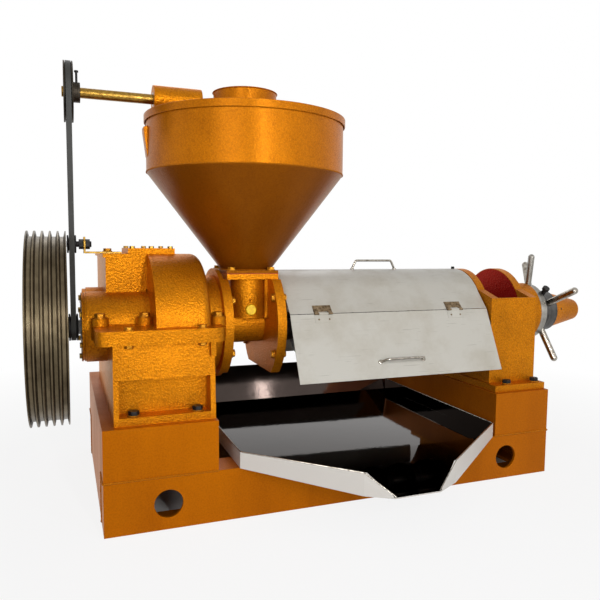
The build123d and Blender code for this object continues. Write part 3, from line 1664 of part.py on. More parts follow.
def flap_handle():
    start, down, out, length = flap_frame(False)
    a = (hinge_z - flap_handle_z) / -down[1]
    y, z = along(start, down, out, a, wire_foot())
    bow = wire_bow(flap_handle_left, flap_handle_right, flap_handle_rise)
    place = Plane(origin=(0, y, z), x_dir=along_x, z_dir=(0, out[0], out[1]))
    return place * bow


nodes = {
    "base_front_beam": lambda: base_beam(-1),
    "base_rear_beam": lambda: base_beam(1),
    "base_cross_ties": base_cross_ties,
    "gearbox_pedestal": gearbox_pedestal,
    "outlet_pedestal": outlet_pedestal,
    "rear_splash_panel": splash_panel,
    "oil_tray": oil_tray,
    "gearbox_lower_body": gearbox_lower_body,
    "gearbox_upper_body": gearbox_upper_body,
    "gearbox_bolts": gearbox_bolts,
    "foundation_bolts": foundation_bolts,
    "inspection_cover": inspection_cover,
    "small_screws": small_screws,
    "bearing_caps": bearing_caps,
    "bearings_and_seals": bearings_and_seals,
    "input_pinion_shaft": input_pinion_shaft,
    "layshaft_pinion_shaft": layshaft_pinion_shaft,
    "layshaft_gear": layshaft_gear,
    "bull_gear": bull_gear,
    "worm_shaft": worm_shaft,
    "worm_sleeves": worm_sleeves,
    "distance_collars": distance_collars,
    "main_pulley": main_pulley,
    "feeder_drive_pulley": feeder_drive_pulley,
    "feeder_belt": feeder_belt,
    "feeder_pulley": feeder_pulley,
    "feeder_shaft": feeder_shaft,
    "feeder_bearing_tube": feeder_bearing_tube,
    "idler_pulley": idler_pulley,
    "idler_axle": idler_axle,
    "idler_bracket": idler_bracket,
    "feed_throat": feed_throat,
    "throat_bolts": throat_bolts,
    "port_gasket": port_gasket,
    "throat_plug": throat_plug,
    "hopper_shell": hopper_shell,
    "hopper_lid": hopper_lid,
    "bevel_housing": bevel_housing,
    "feeder_bevel_pinion": feeder_bevel_pinion,
    "auger_bevel_gear": auger_bevel_gear,
    "feed_auger": feed_auger,
    "cage_upper_half": lambda: cage_half(1),
    "cage_lower_half": lambda: cage_half(-1),
    "press_bars": press_bars,
    "cage_clamp_bolts": cage_clamp_bolts,
    "cage_end_ring": cage_end_ring,
    "outlet_column": outlet_column,
    "lock_ring": lock_ring,
    "adjusting_sleeve": adjusting_sleeve,
    "handle_rods": handle_rods,
    "lock_bolt": lock_bolt,
    "choke_cone": choke_cone,
    "shaft_end_cover": shaft_end_cover,
    "cover_upper_sheet": cover_upper_sheet,
    "cover_hoops": cover_hoops,
    "cover_hinge_leaves": cover_hinge_leaves,
    "cover_handle": cover_handle,
    "front_flap": lambda: cover_flap(False),
    "flap_handle": flap_handle,
    "rear_flap": lambda: cover_flap(True),
}

if __name__ == "__main__":
    os.makedirs("parts", exist_ok=True)
    for name, make in nodes.items():
        export_step(make(), f"parts/{name}.step")
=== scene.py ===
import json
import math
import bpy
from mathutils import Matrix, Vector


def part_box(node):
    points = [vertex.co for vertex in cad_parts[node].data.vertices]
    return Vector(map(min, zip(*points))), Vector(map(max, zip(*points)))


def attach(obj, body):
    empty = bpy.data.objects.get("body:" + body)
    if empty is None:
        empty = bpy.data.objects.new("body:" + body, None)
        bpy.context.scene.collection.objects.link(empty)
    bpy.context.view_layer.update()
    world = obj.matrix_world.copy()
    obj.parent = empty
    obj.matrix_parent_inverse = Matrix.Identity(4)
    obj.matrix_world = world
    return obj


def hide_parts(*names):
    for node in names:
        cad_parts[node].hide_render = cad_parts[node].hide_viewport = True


bl_info = {
    "name": "Screw Oil Press",
    "version": (1, 0, 0),
    "blender": (4, 5, 0),
    "location": "View3D > Sidebar > Oil Press",
    "description": "Dresses the screw oil press with its paint, rounded castings, welds and fittings",
    "category": "Object",
}

import bmesh
import bpy
from bpy.props import FloatProperty, FloatVectorProperty, PointerProperty
from mathutils import Matrix, Vector

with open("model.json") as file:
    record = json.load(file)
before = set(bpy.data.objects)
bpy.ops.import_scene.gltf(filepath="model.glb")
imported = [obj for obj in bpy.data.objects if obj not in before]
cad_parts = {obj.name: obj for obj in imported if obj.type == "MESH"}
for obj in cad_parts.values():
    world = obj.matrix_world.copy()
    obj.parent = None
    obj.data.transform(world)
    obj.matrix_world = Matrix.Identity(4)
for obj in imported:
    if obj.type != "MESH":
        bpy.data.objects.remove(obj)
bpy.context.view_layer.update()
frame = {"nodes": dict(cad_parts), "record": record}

body_of_node = {}
for body_name, names in frame["record"]["behaviour"]["bodies"].items():
    for node_name in names:
        body_of_node[node_name] = body_name

AXIS_Y = -0.110
AXIS_Z = 0.488
BASE_HALF_WIDTH = 0.370
TRAY_X = 0.064
SPLIT_FLANGE_FOOT = 0.467
STUD_Y = -0.078
STUD_Z = 0.713
FEEDER_Z = 1.112
HOPPER_X = -0.245
HOPPER_RADIUS = 0.284
HOPPER_NECK = 0.074
HOPPER_NECK_Z = 0.643
HOPPER_KNEE = 0.918
LID_TOP = 1.074
INLET_X = -0.286
INLET_Y = -0.245
COVER_RADIUS = 0.153
COVER_TOP = AXIS_Z + COVER_RADIUS
SHOULDER_Z = 0.523
SHOULDER_TURN = math.radians(42)
SHOULDER_DROP = COVER_RADIUS * math.sin(SHOULDER_TURN) + AXIS_Z - SHOULDER_Z
SHOULDER_REACH = (COVER_RADIUS * math.cos(SHOULDER_TURN)
                  + SHOULDER_DROP * math.sin(SHOULDER_TURN) / math.cos(SHOULDER_TURN))
FLAP_FOOT_Z = 0.343
FLAP_FOOT_REACH = 0.258
FLAP_HANDLE_Z = 0.386
MERGE_DISTANCE = 0.00002
EDGE_ANGLE = math.radians(32)


def linear(red, green, blue):
    """Linear colour with full alpha from 0 to 255 screen values."""
    values = []
    for value in (red, green, blue):
        share = value / 255
        values.append(share / 12.92 if share <= 0.04045 else ((share + 0.055) / 1.055) ** 2.4)
    return (values[0], values[1], values[2], 1.0)


class OilPressPaint(bpy.types.PropertyGroup):
    """Colours and texture sizes of the finishes."""

    casting_colour: FloatVectorProperty(
        name="Casting Gold", description="Hammered gold enamel on the castings and the hopper",
        subtype='COLOR', size=4, min=0, max=1, default=linear(196, 110, 9))
    casting_deep: FloatVectorProperty(
        name="Casting Gold Deep", description="Darker tone of the hammered enamel",
        subtype='COLOR', size=4, min=0, max=1, default=linear(122, 56, 4))
    base_colour: FloatVectorProperty(
        name="Base Gold", description="Smooth gold enamel on the welded base",
        subtype='COLOR', size=4, min=0, max=1, default=linear(184, 101, 5))
    base_deep: FloatVectorProperty(
        name="Base Gold Deep", description="Darker tone of the smooth enamel",
        subtype='COLOR', size=4, min=0, max=1, default=linear(150, 77, 4))
    cover_colour: FloatVectorProperty(
        name="Cover Grey", description="Pale paint of the sheet cover",
        subtype='COLOR', size=4, min=0, max=1, default=linear(190, 187, 178))
    hammer_size: FloatProperty(
        name="Hammer Size", description="Width of one dimple in the hammered enamel",
        subtype='DISTANCE', unit='LENGTH', min=0.001, max=0.02, default=0.0046)


class OilPressSizes(bpy.types.PropertyGroup):
    """Sizes of the added fittings."""

    casting_round: FloatProperty(
        name="Casting Edge", description="Rounding of the edges of the castings",
        subtype='DISTANCE', unit='LENGTH', min=0.0002, max=0.01, default=0.0028)
    plate_round: FloatProperty(
        name="Plate Edge", description="Rounding of the edges of the base plates",
        subtype='DISTANCE', unit='LENGTH', min=0.0002, max=0.01, default=0.0022)
    weld_width: FloatProperty(
        name="Weld Width", description="Width of the weld beads",
        subtype='DISTANCE', unit='LENGTH', min=0.001, max=0.02, default=0.006)
    washer_depth: FloatProperty(
        name="Washer Depth", description="Thickness of the washers below the bolt heads",
        subtype='DISTANCE', unit='LENGTH', min=0.0005, max=0.005, default=0.0022)


def paint():
    """Colours chosen for this scene."""
    return bpy.context.scene.oil_press_paint


def sizes():
    """Fitting sizes chosen for this scene."""
    return bpy.context.scene.oil_press_sizes


# Shared shader effects.


def effect(name, inputs, outputs):
    """Empty shader group with named sockets, its input node and its output node."""
    tree = bpy.data.node_groups.new(name, 'ShaderNodeTree')
    for label, kind, value in inputs:
        socket = tree.interface.new_socket(label, in_out='INPUT', socket_type=kind)
        if value is not None:
            socket.default_value = value
    for label, kind in outputs:
        tree.interface.new_socket(label, in_out='OUTPUT', socket_type=kind)
    return tree, tree.nodes.new('NodeGroupInput'), tree.nodes.new('NodeGroupOutput')


def feed(tree, socket, value):
    """Input set to a number or colour, or joined to another socket."""
    if isinstance(value, bpy.types.NodeSocket):
        tree.links.new(value, socket)
    else:
        socket.default_value = value


def noise(tree, vector, scale, detail=3.0, rough=0.55):
    """Noise texture on a vector socket; scale is a number or a socket."""
    node = tree.nodes.new('ShaderNodeTexNoise')
    for label, value in (('Vector', vector), ('Scale', scale), ('Detail', detail),
                         ('Roughness', rough)):
        feed(tree, node.inputs[label], value)
    return node.outputs['Fac']


def ramp(tree, value, low, high, out_low=0.0, out_high=1.0):
    """Value spread from low..high to out_low..out_high and held there."""
    node = tree.nodes.new('ShaderNodeMapRange')
    node.clamp = True
    for label, number in (('Value', value), ('From Min', low), ('From Max', high),
                          ('To Min', out_low), ('To Max', out_high)):
        feed(tree, node.inputs[label], number)
    return node.outputs['Result']


def maths(tree, kind, first, second=0.0):
    """Result of one operation on numbers or sockets."""
    node = tree.nodes.new('ShaderNodeMath')
    node.operation = kind
    feed(tree, node.inputs[0], first)
    feed(tree, node.inputs[1], second)
    return node.outputs[0]


def blend_colours(tree, mask, first, second):
    """Mix of two colours, each a tuple or a socket."""
    node = tree.nodes.new('ShaderNodeMix')
    node.data_type = 'RGBA'
    feed(tree, node.inputs['Factor'], mask)
    feed(tree, node.inputs[6], first)
    feed(tree, node.inputs[7], second)
    return node.outputs[2]


def object_place(tree):
    """Place on the piece in its own frame."""
    return tree.nodes.new('ShaderNodeTexCoord').outputs['Object']


def axes(tree, vector=None):
    """X, Y and Z outputs of a vector, or else of the place on the piece."""
    split = tree.nodes.new('ShaderNodeSeparateXYZ')
    tree.links.new(object_place(tree) if vector is None else vector, split.inputs[0])
    return split.outputs


def hammered_enamel():
    """Dimpled metallic enamel: colour, roughness and height."""
    tree, given, out = effect(
        "hammered_enamel",
        [("Colour", 'NodeSocketColor', None), ("Deep Colour", 'NodeSocketColor', None),
         ("Dimples per Metre", 'NodeSocketFloat', 250.0), ("Flake", 'NodeSocketFloat', 0.5)],
        [("Colour", 'NodeSocketColor'), ("Roughness", 'NodeSocketFloat'),
         ("Height", 'NodeSocketFloat')])
    place = object_place(tree)
    cells = tree.nodes.new('ShaderNodeTexVoronoi')
    cells.feature = 'SMOOTH_F1'
    cells.inputs['Smoothness'].default_value = 0.8
    tree.links.new(place, cells.inputs['Vector'])
    tree.links.new(given.outputs['Dimples per Metre'], cells.inputs['Scale'])
    fine = noise(tree, place, 900.0, 2.0)
    broad = noise(tree, place, 7.0, 4.0)
    flakes = ramp(tree, fine, 0.35, 0.75)
    flakes = maths(tree, 'MULTIPLY', flakes, given.outputs['Flake'])
    pits = ramp(tree, cells.outputs['Distance'], 0.15, 0.75)
    shade = maths(tree, 'ADD', maths(tree, 'MULTIPLY', pits, 0.5),
                  ramp(tree, broad, 0.35, 0.75, 0.0, 0.55))
    base = blend_colours(tree, shade, given.outputs['Colour'], given.outputs['Deep Colour'])
    bright = blend_colours(tree, flakes, base, linear(255, 186, 34))
    tree.links.new(blend_colours(tree, 0.6, base, bright), out.inputs['Colour'])
    tree.links.new(ramp(tree, fine, 0.2, 0.8, 0.22, 0.38), out.inputs['Roughness'])
    tree.links.new(maths(tree, 'ADD', cells.outputs['Distance'],
                         maths(tree, 'MULTIPLY', fine, 0.3)), out.inputs['Height'])


def smooth_enamel():
    """Sprayed gloss enamel with slight orange peel, runs and handling marks."""
    tree, given, out = effect(
        "smooth_enamel",
        [("Colour", 'NodeSocketColor', None), ("Deep Colour", 'NodeSocketColor', None),
         ("Marks", 'NodeSocketFloat', 0.5)],
        [("Colour", 'NodeSocketColor'), ("Roughness", 'NodeSocketFloat'),
         ("Height", 'NodeSocketFloat')])
    place = object_place(tree)
    stretch = tree.nodes.new('ShaderNodeMapping')
    stretch.inputs['Scale'].default_value = (1.0, 1.0, 0.25)
    tree.links.new(place, stretch.inputs['Vector'])
    broad = noise(tree, stretch.outputs['Vector'], 9.0, 4.0)
    peel = noise(tree, place, 230.0, 3.0)
    marks = noise(tree, stretch.outputs['Vector'], 38.0, 8.0, 0.75)
    marks = ramp(tree, marks, 0.66, 0.74)
    marks = maths(tree, 'MULTIPLY', marks, given.outputs['Marks'])
    shade = maths(tree, 'ADD', ramp(tree, broad, 0.3, 0.75, 0.0, 0.6),
                  ramp(tree, peel, 0.4, 0.65, 0.0, 0.4))
    base = blend_colours(tree, shade, given.outputs['Colour'], given.outputs['Deep Colour'])
    tree.links.new(blend_colours(tree, marks, base, linear(96, 58, 20)), out.inputs['Colour'])
    tree.links.new(ramp(tree, broad, 0.2, 0.8, 0.3, 0.46), out.inputs['Roughness'])
    tree.links.new(peel, out.inputs['Height'])


def sheet_scratches():
    """Long fine scratches and soft smudges on sheet metal."""
    tree, given, out = effect(
        "sheet_scratches",
        [("Length Scale", 'NodeSocketFloat', 20.0), ("Amount", 'NodeSocketFloat', 0.5)],
        [("Scratches", 'NodeSocketFloat'), ("Smudges", 'NodeSocketFloat')])
    place = object_place(tree)
    total = None
    for turn, stretch in ((0.35, 26.0), (-0.8, 18.0), (1.25, 34.0)):
        mapping = tree.nodes.new('ShaderNodeMapping')
        mapping.inputs['Rotation'].default_value = (turn, turn * 0.5, turn)
        mapping.inputs['Scale'].default_value = (1.0, stretch, stretch)
        tree.links.new(place, mapping.inputs['Vector'])
        lines = ramp(tree, noise(tree, mapping.outputs['Vector'],
                                 given.outputs['Length Scale'], 2.0), 0.70, 0.73)
        total = lines if total is None else maths(tree, 'MAXIMUM', total, lines)
    smudges = ramp(tree, noise(tree, place, 8.0, 6.0, 0.65), 0.45, 0.75)
    tree.links.new(maths(tree, 'MULTIPLY', total, given.outputs['Amount']),
                   out.inputs['Scratches'])
    tree.links.new(smudges, out.inputs['Smudges'])


def turned_rings():
    """Fine tool lines about an axis along X at the given height and depth."""
    tree, given, out = effect(
        "turned_rings",
        [("Axis Y", 'NodeSocketFloat', AXIS_Y), ("Axis Z", 'NodeSocketFloat', AXIS_Z),
         ("Lines per Metre", 'NodeSocketFloat', 700.0)],
        [("Lines", 'NodeSocketFloat'), ("Patches", 'NodeSocketFloat'),
         ("Radius", 'NodeSocketFloat')])
    place = object_place(tree)
    split = axes(tree, place)
    y = maths(tree, 'SUBTRACT', split['Y'], given.outputs['Axis Y'])
    z = maths(tree, 'SUBTRACT', split['Z'], given.outputs['Axis Z'])
    radius = maths(tree, 'SQRT', maths(tree, 'ADD', maths(tree, 'MULTIPLY', y, y),
                                       maths(tree, 'MULTIPLY', z, z)))
    joined = tree.nodes.new('ShaderNodeCombineXYZ')
    tree.links.new(split['X'], joined.inputs['X'])
    tree.links.new(radius, joined.inputs['Y'])
    tree.links.new(noise(tree, joined.outputs[0], given.outputs['Lines per Metre'], 2.0),
                   out.inputs['Lines'])
    tree.links.new(noise(tree, place, 14.0, 5.0, 0.6), out.inputs['Patches'])
    tree.links.new(radius, out.inputs['Radius'])


# Finishes.


def finish(name, metallic, roughness, coat=0.0):
    """Material with its shader, and the shader node."""
    material = bpy.data.materials.new(name)
    material.use_nodes = True
    shader = material.node_tree.nodes['Principled BSDF']
    shader.inputs['Metallic'].default_value = metallic
    shader.inputs['Roughness'].default_value = roughness
    shader.inputs['Coat Weight'].default_value = coat
    shader.inputs['Coat Roughness'].default_value = 0.12
    return material, shader


def gold_gloss(shader):
    """Amber tint on the shine of the gold enamels."""
    shader.inputs['Specular Tint'].default_value = (1.0, 0.56, 0.1, 1.0)
    shader.inputs['Specular IOR Level'].default_value = 0.25


def use_effect(material, effect_name, **values):
    """Group node of an effect in a material, with its inputs set by name."""
    node = material.node_tree.nodes.new('ShaderNodeGroup')
    node.node_tree = bpy.data.node_groups[effect_name]
    for label, value in values.items():
        node.inputs[label.replace('_', ' ')].default_value = value
    return node


def bump(material, shader, height, strength, distance):
    """Relief of a finish from a height."""
    tree = material.node_tree
    node = tree.nodes.new('ShaderNodeBump')
    node.inputs['Strength'].default_value = strength
    node.inputs['Distance'].default_value = distance
    tree.links.new(height, node.inputs['Height'])
    tree.links.new(node.outputs['Normal'], shader.inputs['Normal'])


def enamel(material, shader, node, strength, distance):
    """Colour, roughness and relief of a shader from an enamel effect."""
    links = material.node_tree.links
    links.new(node.outputs['Colour'], shader.inputs['Base Color'])
    links.new(node.outputs['Roughness'], shader.inputs['Roughness'])
    bump(material, shader, node.outputs['Height'], strength, distance)


def overpaint(material, mask, colour):
    """Second colour over the material's own, where the mask is one."""
    tree = material.node_tree
    socket = tree.nodes['Principled BSDF'].inputs['Base Color']
    own = socket.links[0].from_socket
    tree.links.new(blend_colours(tree, mask, own, colour), socket)


def hammered_gold(name, colour, deep, flake=0.6, metallic=0.5, dent=0.5):
    """Hammered enamel in one colour; dent is the strength of its dimples."""
    material, shader = finish(name, metallic, 0.3)
    gold_gloss(shader)
    node = use_effect(material, 'hammered_enamel', Colour=colour,
                      Deep_Colour=deep, Dimples_per_Metre=1.0 / paint().hammer_size, Flake=flake)
    enamel(material, shader, node, dent, 0.0022)
    return material


def column_gold():
    """Hammered gold whose right inner wall is painted red inside the arch."""
    wall_start, wall_end, paint_radius = 0.6445, 0.6456, 0.151
    colour = tuple(paint().casting_colour)
    material = hammered_gold("column_gold", colour, tuple(paint().casting_deep))
    tree = material.node_tree
    rings = use_effect(material, 'turned_rings')
    split = axes(tree)
    near = maths(tree, 'GREATER_THAN', split['X'], wall_start)
    far = maths(tree, 'LESS_THAN', split['X'], wall_end)
    inside = maths(tree, 'LESS_THAN', rings.outputs['Radius'], paint_radius)
    mask = maths(tree, 'MULTIPLY', maths(tree, 'MULTIPLY', near, far), inside)
    overpaint(material, mask, linear(150, 10, 12))


def hopper_gold():
    """Hammered gold with a darker brown painted on the cone below the knee as painted shade."""
    material = hammered_gold("hopper_gold", linear(192, 106, 8), linear(142, 68, 5), 0.35,
                             0.22, 0.16)
    tree = material.node_tree
    # Painted shade: the cone below the knee is blended towards dark brown, standing for the shade on
    # its downward faces.
    cone = ramp(tree, axes(tree)['Z'], HOPPER_KNEE - 0.004, HOPPER_KNEE + 0.002, 0.72, 0.0)
    overpaint(material, cone, linear(92, 42, 4))


def base_gold():
    """Sprayed gold enamel of the welded base."""
    material, shader = finish("base_gold", 0.3, 0.36)
    gold_gloss(shader)
    node = use_effect(material, 'smooth_enamel',
                      Colour=tuple(paint().base_colour), Deep_Colour=tuple(paint().base_deep),
                      Marks=0.5)
    enamel(material, shader, node, 0.3, 0.0016)


def cover_grey():
    """Pale grey paint of the cover with smudges and scratches."""
    material, shader = finish("cover_grey", 0.0, 0.42, 0.1)
    tree = material.node_tree
    node = use_effect(material, 'sheet_scratches', Length_Scale=11.0,
                      Amount=0.3)
    clean = blend_colours(tree, node.outputs['Smudges'], tuple(paint().cover_colour),
                          linear(174, 168, 155))
    tree.links.new(blend_colours(tree, node.outputs['Scratches'], clean, linear(104, 98, 86)),
                   shader.inputs['Base Color'])
    tree.links.new(ramp(tree, node.outputs['Smudges'], 0.0, 1.0, 0.36, 0.56),
                   shader.inputs['Roughness'])
    bump(material, shader, node.outputs['Smudges'], 0.15, 0.002)


def polished_sheet(name, colour, dull, roughness):
    """Stainless sheet with smudges and fine scratches."""
    material, shader = finish(name, 1.0, roughness)
    tree = material.node_tree
    node = use_effect(material, 'sheet_scratches', Length_Scale=22.0,
                      Amount=0.6)
    mask = maths(tree, 'MAXIMUM', node.outputs['Scratches'],
                 maths(tree, 'MULTIPLY', node.outputs['Smudges'], 0.5))
    tree.links.new(blend_colours(tree, mask, colour, dull), shader.inputs['Base Color'])
    tree.links.new(ramp(tree, mask, 0.0, 1.0, roughness, roughness + 0.16),
                   shader.inputs['Roughness'])
    bump(material, shader, node.outputs['Smudges'], 0.04, 0.002)
    return material


def tray_sheet():
    """Stainless tray: mirror-like inside, with dark brown colours that paint in the shade it
    reflects, pale on the outer faces of its walls.
    """
    # Painted shade: the inner steel gets dark brown colours in place of the shaded parts it would
    # reflect.
    material = polished_sheet("tray_sheet", linear(38, 28, 22), linear(27, 20, 15), 0.03)
    tree = material.node_tree
    shader = tree.nodes['Principled BSDF']
    facing = axes(tree, tree.nodes.new('ShaderNodeNewGeometry').outputs['Normal'])
    half = maths(tree, 'SIGN', maths(tree, 'SUBTRACT', axes(tree)['X'], TRAY_X))
    side = maths(tree, 'MULTIPLY', half, facing['X'])
    front = maths(tree, 'MULTIPLY', facing['Y'], -1.0)
    outward = maths(tree, 'GREATER_THAN', maths(tree, 'MAXIMUM', side, front), 0.3)
    overpaint(material, outward, linear(204, 200, 194))
    tree.links.new(ramp(tree, outward, 0.0, 1.0, 0.04, 0.42), shader.inputs['Roughness'])
    tree.links.new(ramp(tree, outward, 0.0, 1.0, 1.0, 0.2), shader.inputs['Metallic'])


def turned_metal(name, colour, dull, roughness, strength=0.25, z=AXIS_Z):
    """Machined metal with tool lines about an axis."""
    material, shader = finish(name, 1.0, roughness)
    tree = material.node_tree
    node = use_effect(material, 'turned_rings', Axis_Z=z)
    mask = maths(tree, 'MULTIPLY', node.outputs['Lines'],
                 ramp(tree, node.outputs['Patches'], 0.3, 0.7, 0.7, 1.6))
    tree.links.new(blend_colours(tree, ramp(tree, mask, 0.3, 0.8), colour, dull),
                   shader.inputs['Base Color'])
    tree.links.new(ramp(tree, node.outputs['Patches'], 0.3, 0.7, roughness, roughness + 0.15),
                   shader.inputs['Roughness'])
    bump(material, shader, node.outputs['Lines'], strength, 0.0004)


def plated_steel(name, colour, dull, roughness, metallic=1.0):
    """Plated or blackened small parts with mottled wear."""
    material, shader = finish(name, metallic, roughness)
    tree = material.node_tree
    place = object_place(tree)
    mottle = ramp(tree, noise(tree, place, 120.0, 5.0, 0.6), 0.35, 0.7)
    tree.links.new(blend_colours(tree, mottle, colour, dull), shader.inputs['Base Color'])
    tree.links.new(ramp(tree, mottle, 0.0, 1.0, roughness, roughness + 0.14),
                   shader.inputs['Roughness'])
    bump(material, shader, noise(tree, place, 600.0, 2.0), 0.12, 0.0004)


def belt_rubber():
    """Dusty black rubber with a woven face."""
    material, shader = finish("belt_black", 0.0, 0.62)
    tree = material.node_tree
    place = object_place(tree)
    weave = noise(tree, place, 420.0, 4.0, 0.7)
    dust = ramp(tree, noise(tree, place, 16.0, 4.0), 0.45, 0.75)
    tree.links.new(blend_colours(tree, dust, linear(34, 34, 30), linear(58, 56, 50)),
                   shader.inputs['Base Color'])
    tree.links.new(ramp(tree, dust, 0.0, 1.0, 0.55, 0.8), shader.inputs['Roughness'])
    bump(material, shader, weave, 0.5, 0.0006)


def red_gasket():
    """Grainy red gasket sheet."""
    material, shader = finish("gasket_red", 0.0, 0.6)
    tree = material.node_tree
    grain = noise(tree, object_place(tree), 500.0, 3.0)
    tree.links.new(blend_colours(tree, grain, linear(190, 30, 22), linear(120, 14, 10)),
                   shader.inputs['Base Color'])
    bump(material, shader, grain, 0.3, 0.0005)


def weld_gold():
    """Gold enamel over rough weld beads."""
    material, shader = finish("weld_gold", 0.3, 0.4)
    gold_gloss(shader)
    tree = material.node_tree
    grain = noise(tree, object_place(tree), 300.0, 4.0)
    tree.links.new(blend_colours(tree, grain, linear(196, 116, 12), linear(120, 66, 14)),
                   shader.inputs['Base Color'])
    bump(material, shader, grain, 0.4, 0.0008)


def make_finishes():
    """All materials of the press by name."""
    hammered_enamel()
    smooth_enamel()
    sheet_scratches()
    turned_rings()
    colour, deep = tuple(paint().casting_colour), tuple(paint().casting_deep)
    hammered_gold("casting_gold", colour, deep)
    hopper_gold()
    hammered_gold("bolt_gold", linear(206, 140, 40), linear(120, 74, 22), 0.3, 0.6)
    column_gold()
    base_gold()
    weld_gold()
    cover_grey()
    tray_sheet()
    # Painted shade: the splash panel's steel gets dark colours in place of the shaded surroundings it
    # would reflect.
    polished_sheet("splash_sheet", linear(72, 63, 59), linear(50, 43, 39), 0.06)
    turned_metal("pulley_iron", linear(122, 109, 86), linear(72, 62, 46), 0.26, 0.35)
    turned_metal("ring_steel", linear(172, 168, 160), linear(104, 100, 94), 0.24, 0.3)
    turned_metal("sleeve_steel", linear(98, 96, 94), linear(52, 50, 48), 0.34, 0.4)
    turned_metal("feeder_iron", linear(84, 76, 66), linear(44, 40, 34), 0.4, 0.3, z=FEEDER_Z)
    turned_metal("inner_steel", linear(168, 166, 162), linear(112, 108, 104), 0.3)
    plated_steel("yellow_zinc", linear(160, 126, 56), linear(112, 80, 32), 0.28)
    plated_steel("plug_yellow", linear(246, 208, 20), linear(214, 160, 14), 0.4, 0.1)
    plated_steel("black_oxide", linear(42, 40, 40), linear(24, 23, 23), 0.42, 0.7)
    plated_steel("bright_plate", linear(178, 172, 162), linear(104, 96, 86), 0.16)
    plated_steel("hinge_steel", linear(146, 126, 98), linear(60, 44, 30), 0.38)
    belt_rubber()
    red_gasket()


# Mesh helpers.


def metal(name):
    """Finish with this name."""
    return bpy.data.materials[name]


def add_piece(name, mesh, material, body, stands_for=()):
    """Object for a finished mesh that rides on a body."""
    mesh.materials.clear()
    mesh.materials.append(metal(material))
    piece = bpy.data.objects.new(name, mesh)
    bpy.context.scene.collection.objects.link(piece)
    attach(piece, body)
    if stands_for:
        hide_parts(*stands_for)
    return piece


def soften(mesh, smooth_angle):
    """Smooth shading with the edges above an angle kept sharp."""
    for polygon in mesh.polygons:
        polygon.use_smooth = True
    mesh.set_sharp_from_angle(angle=math.radians(smooth_angle))


def mesh_from(bm, name, smooth_angle=38.0):
    """Mesh with its sharp edges marked by angle."""
    mesh = bpy.data.meshes.new(name)
    bm.to_mesh(mesh)
    bm.free()
    soften(mesh, smooth_angle)
    return mesh


def plain_mesh(draft, name):
    """Plain mesh of a draft with its modifiers worked in; the draft goes."""
    bpy.context.view_layer.update()
    view = bpy.context.evaluated_depsgraph_get()
    mesh = bpy.data.meshes.new_from_object(draft.evaluated_get(view), preserve_all_data_layers=True,
                                           depsgraph=view)
    bpy.data.objects.remove(draft)
    mesh.name = name
    return mesh


def rounded(bm, name, width):
    """Mesh with its sharp edges rounded and its flat faces kept flat."""
    draft = bpy.data.objects.new(name + "_draft", mesh_from(bm, name))
    bpy.context.scene.collection.objects.link(draft)
    bevel = draft.modifiers.new("edges", 'BEVEL')
    bevel.width = width
    bevel.segments = 2
    bevel.limit_method = 'ANGLE'
    bevel.angle_limit = EDGE_ANGLE
    bevel.use_clamp_overlap = True
    bevel.miter_outer = 'MITER_ARC'
    flat = draft.modifiers.new("flat", 'WEIGHTED_NORMAL')
    flat.keep_sharp = True
    return plain_mesh(draft, name)


def merged(node):
    """Copy of a CAD node's mesh with its doubled points joined."""
    bm = bmesh.new()
    bm.from_mesh(frame["nodes"][node].data)
    bmesh.ops.remove_doubles(bm, verts=bm.verts, dist=MERGE_DISTANCE)
    return bm


def refined(node, name, material, width=0.0, smooth_angle=38.0):
    """Merged, rounded and smoothed piece that stands for a CAD node."""
    bm = merged(node)
    bmesh.ops.dissolve_limit(bm, angle_limit=math.radians(0.5), verts=bm.verts, edges=bm.edges)
    mesh = rounded(bm, name, width) if width else mesh_from(bm, name, smooth_angle)
    return add_piece(name, mesh, material, body_of_node[node], (node,))


def turned(profile, axis, centre, steps):
    """Turned solid from (along, radius) points that start and end on its axis."""
    axis, centre = Vector(axis).normalized(), Vector(centre)
    side = axis.orthogonal().normalized()
    across = axis.cross(side).normalized()
    bm = bmesh.new()
    loops = []
    for along, radius in profile:
        loop = []
        for i in range(steps if radius else 1):
            angle = 2 * math.pi * i / steps
            way = side * math.cos(angle) + across * math.sin(angle)
            loop.append(bm.verts.new(centre + axis * along + way * radius))
        loops.append(loop)
    for a, b in zip(loops, loops[1:]):
        for i in range(steps):
            j = (i + 1) % steps
            corners = [a[i % len(a)], a[j % len(a)], b[j % len(b)], b[i % len(b)]]
            bm.faces.new(list(dict.fromkeys(corners)))
    bmesh.ops.recalc_face_normals(bm, faces=bm.faces)
    return bm


def tube(bm, points, radius, sides):
    """Round tube through points with flat ends, added to a bmesh."""
    points = [Vector(p) for p in points]
    rings = []
    side = (points[1] - points[0]).normalized().orthogonal().normalized()
    for before, point, after in zip(points[:1] + points, points, points[1:] + points[-1:]):
        way = (after - before).normalized()
        side = (side - way * side.dot(way)).normalized()
        across = way.cross(side)
        ring = []
        for k in range(sides):
            angle = 2 * math.pi * k / sides
            ring.append(bm.verts.new(point + (side * math.cos(angle)
                                              + across * math.sin(angle)) * radius))
        rings.append(ring)
    for a, b in zip(rings, rings[1:]):
        for k in range(sides):
            m = (k + 1) % sides
            bm.faces.new((a[k], a[m], b[m], b[k]))
    bm.faces.new(list(reversed(rings[0])))
    bm.faces.new(rings[-1])
    bmesh.ops.recalc_face_normals(bm, faces=bm.faces)


def round_path(x, y, z, radius, count):
    """Closed level path around an upright axis."""
    return [(x + radius * math.cos(2 * math.pi * i / count),
             y + radius * math.sin(2 * math.pi * i / count), z) for i in range(count + 1)]


def smooth_path(points, radius, steps=5):
    """Path through points with its corners rounded in short straight steps."""
    points = [Vector(p) for p in points]
    path = [points[0]]
    for before, corner, after in zip(points, points[1:], points[2:]):
        start = corner + (before - corner).normalized() * radius
        end = corner + (after - corner).normalized() * radius
        for i in range(steps + 1):
            t = i / steps
            path.append(start.lerp(corner, t).lerp(corner.lerp(end, t), t))
    path.append(points[-1])
    return path


# Geometry node trees for repeated fittings.


